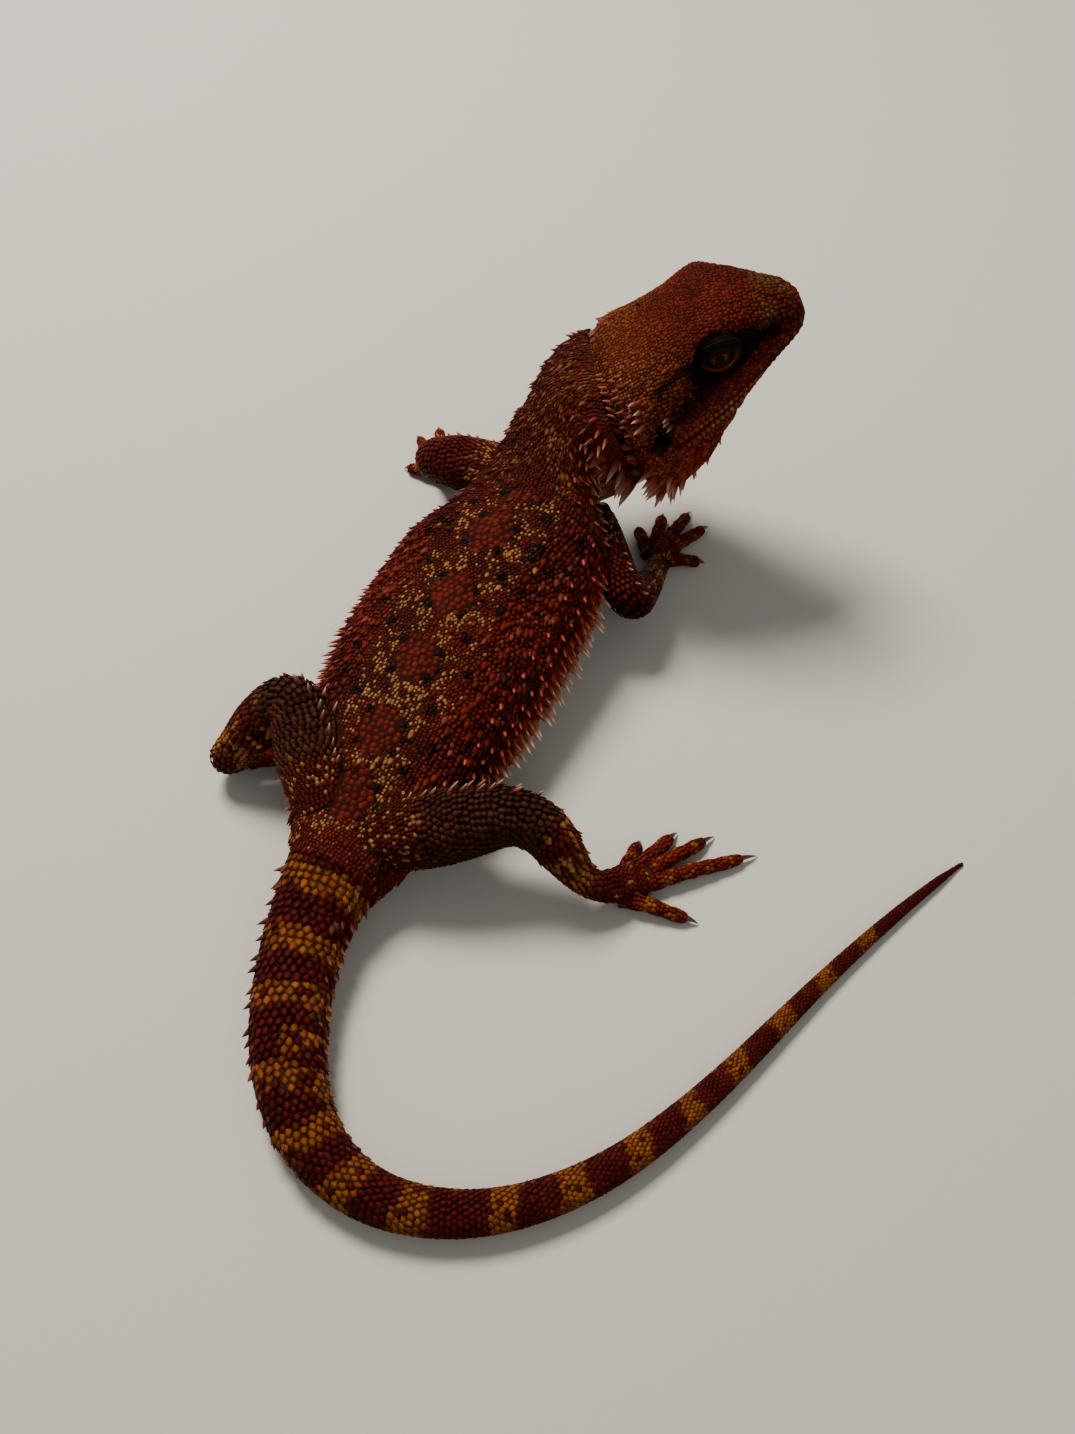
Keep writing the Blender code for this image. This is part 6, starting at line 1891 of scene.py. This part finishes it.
@dataclass
class Eyes:
    """Eyeballs, lids with their grains, and ear drums."""

    body: Body
    radius: float = 3.1
    opening: tuple[float, float] = (2.2, 1.15)
    rim: float = 0.28
    back_distance: float = 3.2
    sheet_reach: float = 3.8
    grain_reach: float = 3.55
    grain_size: float = 0.42

    def axes(self, side: int) -> Array:
        """Return the eye's directions ahead, up and outwards for the right (1) or left (-1) side."""
        ahead, right, up = self.body.head.axes()
        return np.stack([ahead, up, side * right])

    def centre(self, side: int) -> Array:
        """Return the middle of the eyeball."""
        ahead, across, height = self.body.head.eye_at
        return self.body.head.spot(ahead, side * across, height)

    def ball(self, side: int, name: str) -> bpy.types.Object:
        """Return an eyeball: a sphere whose front bulges by a hill of the distance from its axis."""
        rows, columns = 40, 48
        tilt, turn = np.meshgrid(np.linspace(0, math.pi, rows), TAU * np.arange(columns) / columns,
                                 indexing="ij")
        away = self.radius * np.sin(tilt)
        out = self.radius * np.cos(tilt) + 0.22 * bump(away, 0.0, 1.3) * (tilt < 1.5)
        local = np.stack([away * np.cos(turn), away * np.sin(turn), out], axis=-1).reshape(-1, 3)
        verts = self.centre(side) + local @ self.axes(side)
        distance = np.where(local[:, 2] > 0, np.hypot(local[:, 0], local[:, 1]), self.back_distance)
        made = Meshes.build(name, verts, Meshes.grid_faces(rows, columns), {"axis_distance": distance})
        Meshes.close(made)
        return made

    def almond(self, turn: Array) -> Array:
        """Return the opening's radius at each turn: an oval drawn out to a point fore and aft."""
        wide, high = self.opening
        oval_radius = 1 / np.sqrt((np.cos(turn) / wide) ** 2 + (np.sin(turn) / high) ** 2)
        return oval_radius * (1 + 0.12 * np.abs(np.cos(turn)) ** 12)

    def lid_point(self, side: int, turn: Array, away: Array, lift: Array | float = 0.0) -> Array:
        """Return points on the lids' sphere at a distance from the eye's axis, lifted off it.

        Low waves of the distance from the opening make the lids' folds.
        """
        radius = self.body.head.lid_radius + lift
        fold = 0.09 * np.sin(5.2 * (away - self.almond(turn))) * smooth(away - self.almond(turn), 0.2, 0.6)
        out = np.sqrt(np.maximum(radius ** 2 - away ** 2, 0.0)) + fold
        local = np.stack([away * np.cos(turn), away * np.sin(turn), out], axis=-1)
        return self.centre(side) + local @ self.axes(side)

    def lids(self, side: int, name: str) -> bpy.types.Object:
        """Return both lids of an eye: a sheet on the lids' sphere that rolls in at its rim."""
        rows, columns, rolled = 22, 96, 6
        turns = TAU * np.arange(columns) / columns
        turn, turn_in = np.tile(turns, (rows, 1)), np.tile(turns, (rolled, 1))
        edge = self.almond(turn)
        share = np.linspace(0, 1, rows)[:, None]
        away = edge + (self.sheet_reach - edge) * share ** 1.2
        outer = self.lid_point(side, turn, away)
        roll = np.linspace(0, math.pi, rolled + 1)[1:, None]
        edge_in = self.almond(turn_in)
        middle_out = np.sqrt(self.body.head.lid_radius ** 2 - edge_in ** 2) - self.rim
        away_in = edge_in - self.rim * np.sin(roll) * 0.7
        local = np.stack([away_in * np.cos(turn_in), away_in * np.sin(turn_in),
                          middle_out + self.rim * np.cos(roll)], axis=-1)
        inner = self.centre(side) + local @ self.axes(side)
        points = np.concatenate([inner[::-1], outer])
        near = np.concatenate([np.zeros((rolled, columns)), away - edge])
        # Painted shade: from dark brick at the opening the lids go black outwards, the shade of the socket
        # under the brow.
        colours = mixed(Palette.BRICK * 0.55, Palette.BLACK, smooth(near, 0.1, 0.7))
        return Meshes.build(name, points.reshape(-1, 3), Meshes.grid_faces(*points.shape[:2])[:, ::-side],
                            {"markings_and_painted_light": colours.reshape(-1, 3)})

    def grains(self, drape: Drape, seed: int = 3) -> Stamped:
        """Return the lids' grains, set in rows that follow the opening."""
        made, draw = Stamped(), np.random.default_rng(seed)
        head = self.body.head
        for side in (1, -1):
            for number, offset in enumerate(np.arange(0.16, 2.2, 0.36)):
                around = TAU * (np.arange(200) + 0.5 * (number % 2)) / 200
                away = self.almond(around) + offset
                ring = self.lid_point(side, around, away)
                arc = np.concatenate([[0], np.cumsum(np.linalg.norm(np.diff(ring, axis=0), axis=1))])
                count = int(arc[-1] / 0.4)
                turn = np.interp((np.arange(count) + 0.5 * (number % 2)) * arc[-1] / count, arc, around)
                away = self.almond(turn) + offset
                near = away < self.grain_reach
                turn, away = turn[near], away[near]
                if not len(turn):
                    continue
                points = self.lid_point(side, turn, away)
                out = unit(points - self.centre(side))
                outward = unit(points - self.lid_point(side, turn, away - 0.1))
                axes = np.stack([np.cross(outward, out), outward, out], axis=1)
                size = self.grain_size * (1 + 0.15 * draw.uniform(-1, 1, len(turn)))
                sizes = np.stack([size, size, size * 0.8], axis=1)
                low = smooth(-np.sin(turn), -0.2, 0.6) * (offset < 0.6)
                shade = mixed(Palette.BLACK * 1.4, Palette.GOLD, 0.75 * low)
                shade = shade * np.exp(0.2 * draw.standard_normal(len(turn)))[:, None]
                place = head.eye_at[0] + away * np.cos(turn)
                angle = np.full(len(turn), 0.3) + away * np.sin(turn) / 10
                angle = angle if side == 1 else math.pi - angle
                made.add(Template.granule(), points - 0.03 * out, axes, sizes, shade, shade * 1.5,
                         drape.place(head, place, angle))
        return made

    def drum(self, side: int, name: str) -> bpy.types.Object:
        """Return an ear drum: a shallow dish that fills the bottom of the ear's hollow."""
        head = self.body.head
        angles = np.linspace(-0.8, 0.3, 200)
        height = head.outline(np.full(200, head.ear_at[0]), angles, 0.0)[1]
        angle = float(np.interp(head.ear_at[1], height, angles))
        angle = angle if side == 1 else math.pi - angle
        points, _, _, _ = head.basis(np.array([head.ear_at[0]]), np.array([angle]))
        ahead, right, up = head.axes()
        lean_ahead, lean_up = head.ear_lean
        first = unit(lean_ahead * ahead + lean_up * up)
        out = unit(side * right - 0.12 * up)
        first = unit(first - np.dot(first, out) * out)
        second = np.cross(out, first)
        rows, columns = 8, 32
        share, turn = np.meshgrid(np.linspace(0, 1, rows), TAU * np.arange(columns) / columns, indexing="ij")
        local = np.stack([share * 1.7 * np.cos(turn), share * 0.85 * np.sin(turn),
                          0.25 * share ** 2], axis=-1)
        top = points[0] + 0.22 * out + local.reshape(-1, 3) @ np.stack([first, second, out])
        under = top[::-1] - 0.3 * out
        verts = np.concatenate([top, under])
        faces = Meshes.grid_faces(2 * rows, columns)
        # Painted shade: the drum is near black, the shade at the bottom of the ear's hollow.
        colours = np.tile(Palette.BLACK * 1.3, (len(verts), 1))
        made = Meshes.build(name, verts, faces, {"markings_and_painted_light": colours})
        Meshes.close(made)
        return made


@dataclass
class Claws:
    """The twenty claws: curved cones that rise from each digit's tip and come down to the floor."""

    body: Body
    root: float = 0.62
    sides: int = 12
    rows: int = 12
    span: tuple[float, float] = (0.78, 0.985)
    tip: float = 0.03

    def build(self) -> bpy.types.Object:
        """Return all the claws as one object: rings of falling radius along a path that bends down."""
        verts, faces, rises, count = [], [], [], 0
        for digit in self.body.toes:
            share = np.linspace(0, 1, self.rows)
            start, finish = (share_of * digit.length for share_of in self.span)
            place = start + (finish - start) * share
            centre, right, up = digit.frame(place)
            centre = centre.copy()
            centre[:, 2] = 0.85 + 0.25 * np.sin(math.pi * share) - 0.68 * share ** 1.6
            radius = self.root * (1 - share ** 1.3) + self.tip
            turn = TAU * np.arange(self.sides) / self.sides
            ring = (centre[:, None, :] + radius[:, None, None] * (0.72 * np.cos(turn)[None, :, None] * right
                                                                    + np.sin(turn)[None, :, None] * up))
            ring[..., 2] = np.maximum(ring[..., 2], FLOOR_GAP)
            block = np.concatenate([ring.reshape(-1, 3), [centre[0]], [centre[-1]]])
            grid = Meshes.grid_faces(self.rows, self.sides)
            triangles = np.concatenate([grid[:, [0, 1, 2]], grid[:, [0, 2, 3]]])
            corner = np.arange(self.sides)
            first, last = len(block) - 2, (self.rows - 1) * self.sides
            after = (corner + 1) % self.sides
            ends = np.concatenate([np.stack([after, corner, np.full(self.sides, first)], axis=1),
                                   np.stack([last + corner, last + after,
                                             np.full(self.sides, first + 1)], axis=1)])
            faces.append(np.concatenate([triangles, ends]) + count)
            verts.append(block)
            rises.append(np.concatenate([np.repeat(share, self.sides), [0.0], [1.0]]))
            count += len(block)
        made = Meshes.build("claws", np.concatenate(verts), np.concatenate(faces),
                            {"rise": np.concatenate(rises)})
        Meshes.close(made)
        return made


@dataclass
class Studio:
    """Floor, light and camera."""

    eye: tuple[float, float, float] = (-74.193, 88.122, 177.3)
    azimuth: float = math.radians(207)
    fall: float = math.radians(52.05)
    focal: float = 1450.0
    image: tuple[float, float] = (1075.0, 1434.0)
    sensor: float = 36.0
    floor_colour: tuple[float, float, float] = srgb(186, 180, 169)

    def camera(self) -> None:
        """Set the camera at the photograph's viewing angle, upright, with its focal length."""
        data = bpy.data.cameras.new("camera")
        made = bpy.data.objects.new("camera", data)
        bpy.context.scene.collection.objects.link(made)
        data.sensor_fit = "AUTO"
        data.sensor_width = self.sensor
        data.sensor_height = self.sensor
        data.lens = self.sensor * self.focal / self.image[1]
        data.clip_start = 0.005
        data.clip_end = 20.0
        az, fall = self.azimuth, self.fall
        ahead = Vector((-math.sin(az) * math.cos(fall), math.cos(az) * math.cos(fall), -math.sin(fall)))
        right = Vector((math.cos(az), math.sin(az), 0.0))
        up = right.cross(ahead)
        matrix = Matrix((right, up, -ahead)).transposed().to_4x4()
        matrix.translation = Vector(self.eye) * MM
        made.matrix_world = matrix
        bpy.context.scene.camera = made

    def floor(self) -> None:
        """Lay a plain pale floor that fills every view."""
        reach = 4000.0
        verts = reach * np.array([(-1, -1, 0), (1, -1, 0), (1, 1, 0), (-1, 1, 0)], float)
        made = Meshes.build("floor", verts, np.array([[0, 1, 2, 3]]), {}, smoothed=False)
        material, _, _, shader = new_material("floor")
        preset(shader, {"Base Color": (*self.floor_colour, 1), "Roughness": 0.9, "Specular IOR Level": 0.1})
        made.data.materials.append(material)

    def lights(self) -> None:
        """Hang one broad key light over the far left and let a pale sky fill the shadows."""
        self.lamp("key", (0.30, -0.22, 0.55), 0.22, 7.6, (1.0, 0.97, 0.92))
        self.lamp("fill", (-0.45, 0.35, 0.45), 0.5, 1.0, (0.95, 0.97, 1.0))
        world = bpy.data.worlds.new("soft_sky")
        world.use_nodes = True
        world.node_tree.nodes["Background"].inputs[0].default_value = (0.95, 0.97, 1.0, 1)
        world.node_tree.nodes["Background"].inputs[1].default_value = 0.3
        bpy.context.scene.world = world

    @staticmethod
    def lamp(name: str, place: tuple[float, float, float], size: float, power: float,
             colour: tuple[float, float, float]) -> None:
        """Hang a square lamp at a place, turned to the middle of the animal."""
        data = bpy.data.lights.new(name, "AREA")
        data.size = size
        data.energy = power
        data.color = colour
        made = bpy.data.objects.new(name, data)
        made.location = place
        aim = Vector((-0.01, -0.03, 0.01)) - made.location
        made.rotation_mode = "QUATERNION"
        made.rotation_quaternion = aim.to_track_quat("-Z", "Y")
        bpy.context.scene.collection.objects.link(made)


@dataclass
class Dragon:
    """The whole animal: builds every piece, dresses it and hides the solids it stands for."""

    body: Body = field(default_factory=Body)

    def __post_init__(self) -> None:
        """Make the pattern, the unwrap and the coat that the pieces share."""
        self.marks = Markings(self.body)
        self.drape = Drape(self.body)
        self.coat = Coat(self.body, self.marks, self.drape)
        self.eyes = Eyes(self.body)

    def flesh_nodes(self) -> list[str]:
        """Return the names of the solids that the one skin replaces."""
        separate = ("eye_", "ear_")
        return [name for name in frame["nodes"] if not name.startswith(separate)]

    def settle(self, piece: bpy.types.Object, material: bpy.types.Material) -> None:
        """Give a piece its material, let it ride on the animal's one body, and report it."""
        piece.data.materials.clear()
        piece.data.materials.append(material)
        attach(piece, "root")
        triangles = len(piece.data.loops) - 2 * len(piece.data.polygons)
        LOG.info("%s: %d triangles", piece.name, triangles)

    def build(self) -> None:
        """Build and dress every piece."""
        skin = Skin(self.body, self.marks, self.drape).build()
        bare = CoatFinish("bare_skin", roughness=0.7, specular=0.04, grain=0.3, cells=0.0009)
        horny = CoatFinish("scale_horn", roughness=0.5, specular=0.025)
        spiny = CoatFinish("spine_horn", roughness=0.45, specular=0.12, grain=0.15, subsurface=0.08)
        self.settle(skin, bare.material())
        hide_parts(*self.flesh_nodes())
        scale = horny.material()
        back, belly = self.coat.trunk()
        crown, jaws = self.coat.head()
        for name, stamped, slot in (("scales_back", back, "body_skin"), ("scales_belly", belly, "body_skin"),
                                    ("scales_neck", self.coat.neck(), "body_skin"),
                                    ("scales_tail", self.coat.tail(), "tail_skin"),
                                    ("scales_limbs", self.coat.limbs(), "limb_skin"),
                                    ("scales_digits", self.coat.digits(), "limb_skin"),
                                    ("scales_crown", crown, "head_skin"), ("scales_jaws", jaws, "head_skin")):
            self.settle(stamped.piece(name), scale)
        body_spines, head_spines = Spines(self.body, self.marks, self.drape).build(self.coat)
        horn = spiny.material()
        self.settle(body_spines.piece("spines_body"), horn)
        self.settle(head_spines.piece("spines_head"), horn)
        self.face(bare.material(), scale)
        self.settle(Claws(self.body).build(), HornFinish().material())

    def face(self, bare: bpy.types.Material, scale: bpy.types.Material) -> None:
        """Build the eyes, lids and ear drums."""
        wet = EyeFinish().material()
        for side, word in ((1, "right"), (-1, "left")):
            ball = self.eyes.ball(side, f"eyeball_{word}")
            self.settle(ball, wet)
            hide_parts(f"eye_{word}")
            self.settle(self.eyes.lids(side, f"lids_{word}"), bare)
            drum = self.eyes.drum(side, f"ear_drum_{word}")
            self.settle(drum, bare)
            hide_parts(f"ear_{word}")
        self.settle(self.eyes.grains(self.drape).piece("lid_grains"), scale)


def main() -> None:
    """Build the animal and its studio."""
    logging.basicConfig(level=logging.INFO, format="%(message)s")
    Dragon().build()
    studio = Studio()
    studio.floor()
    studio.lights()
    studio.camera()


if __name__ == "__main__":
    main()
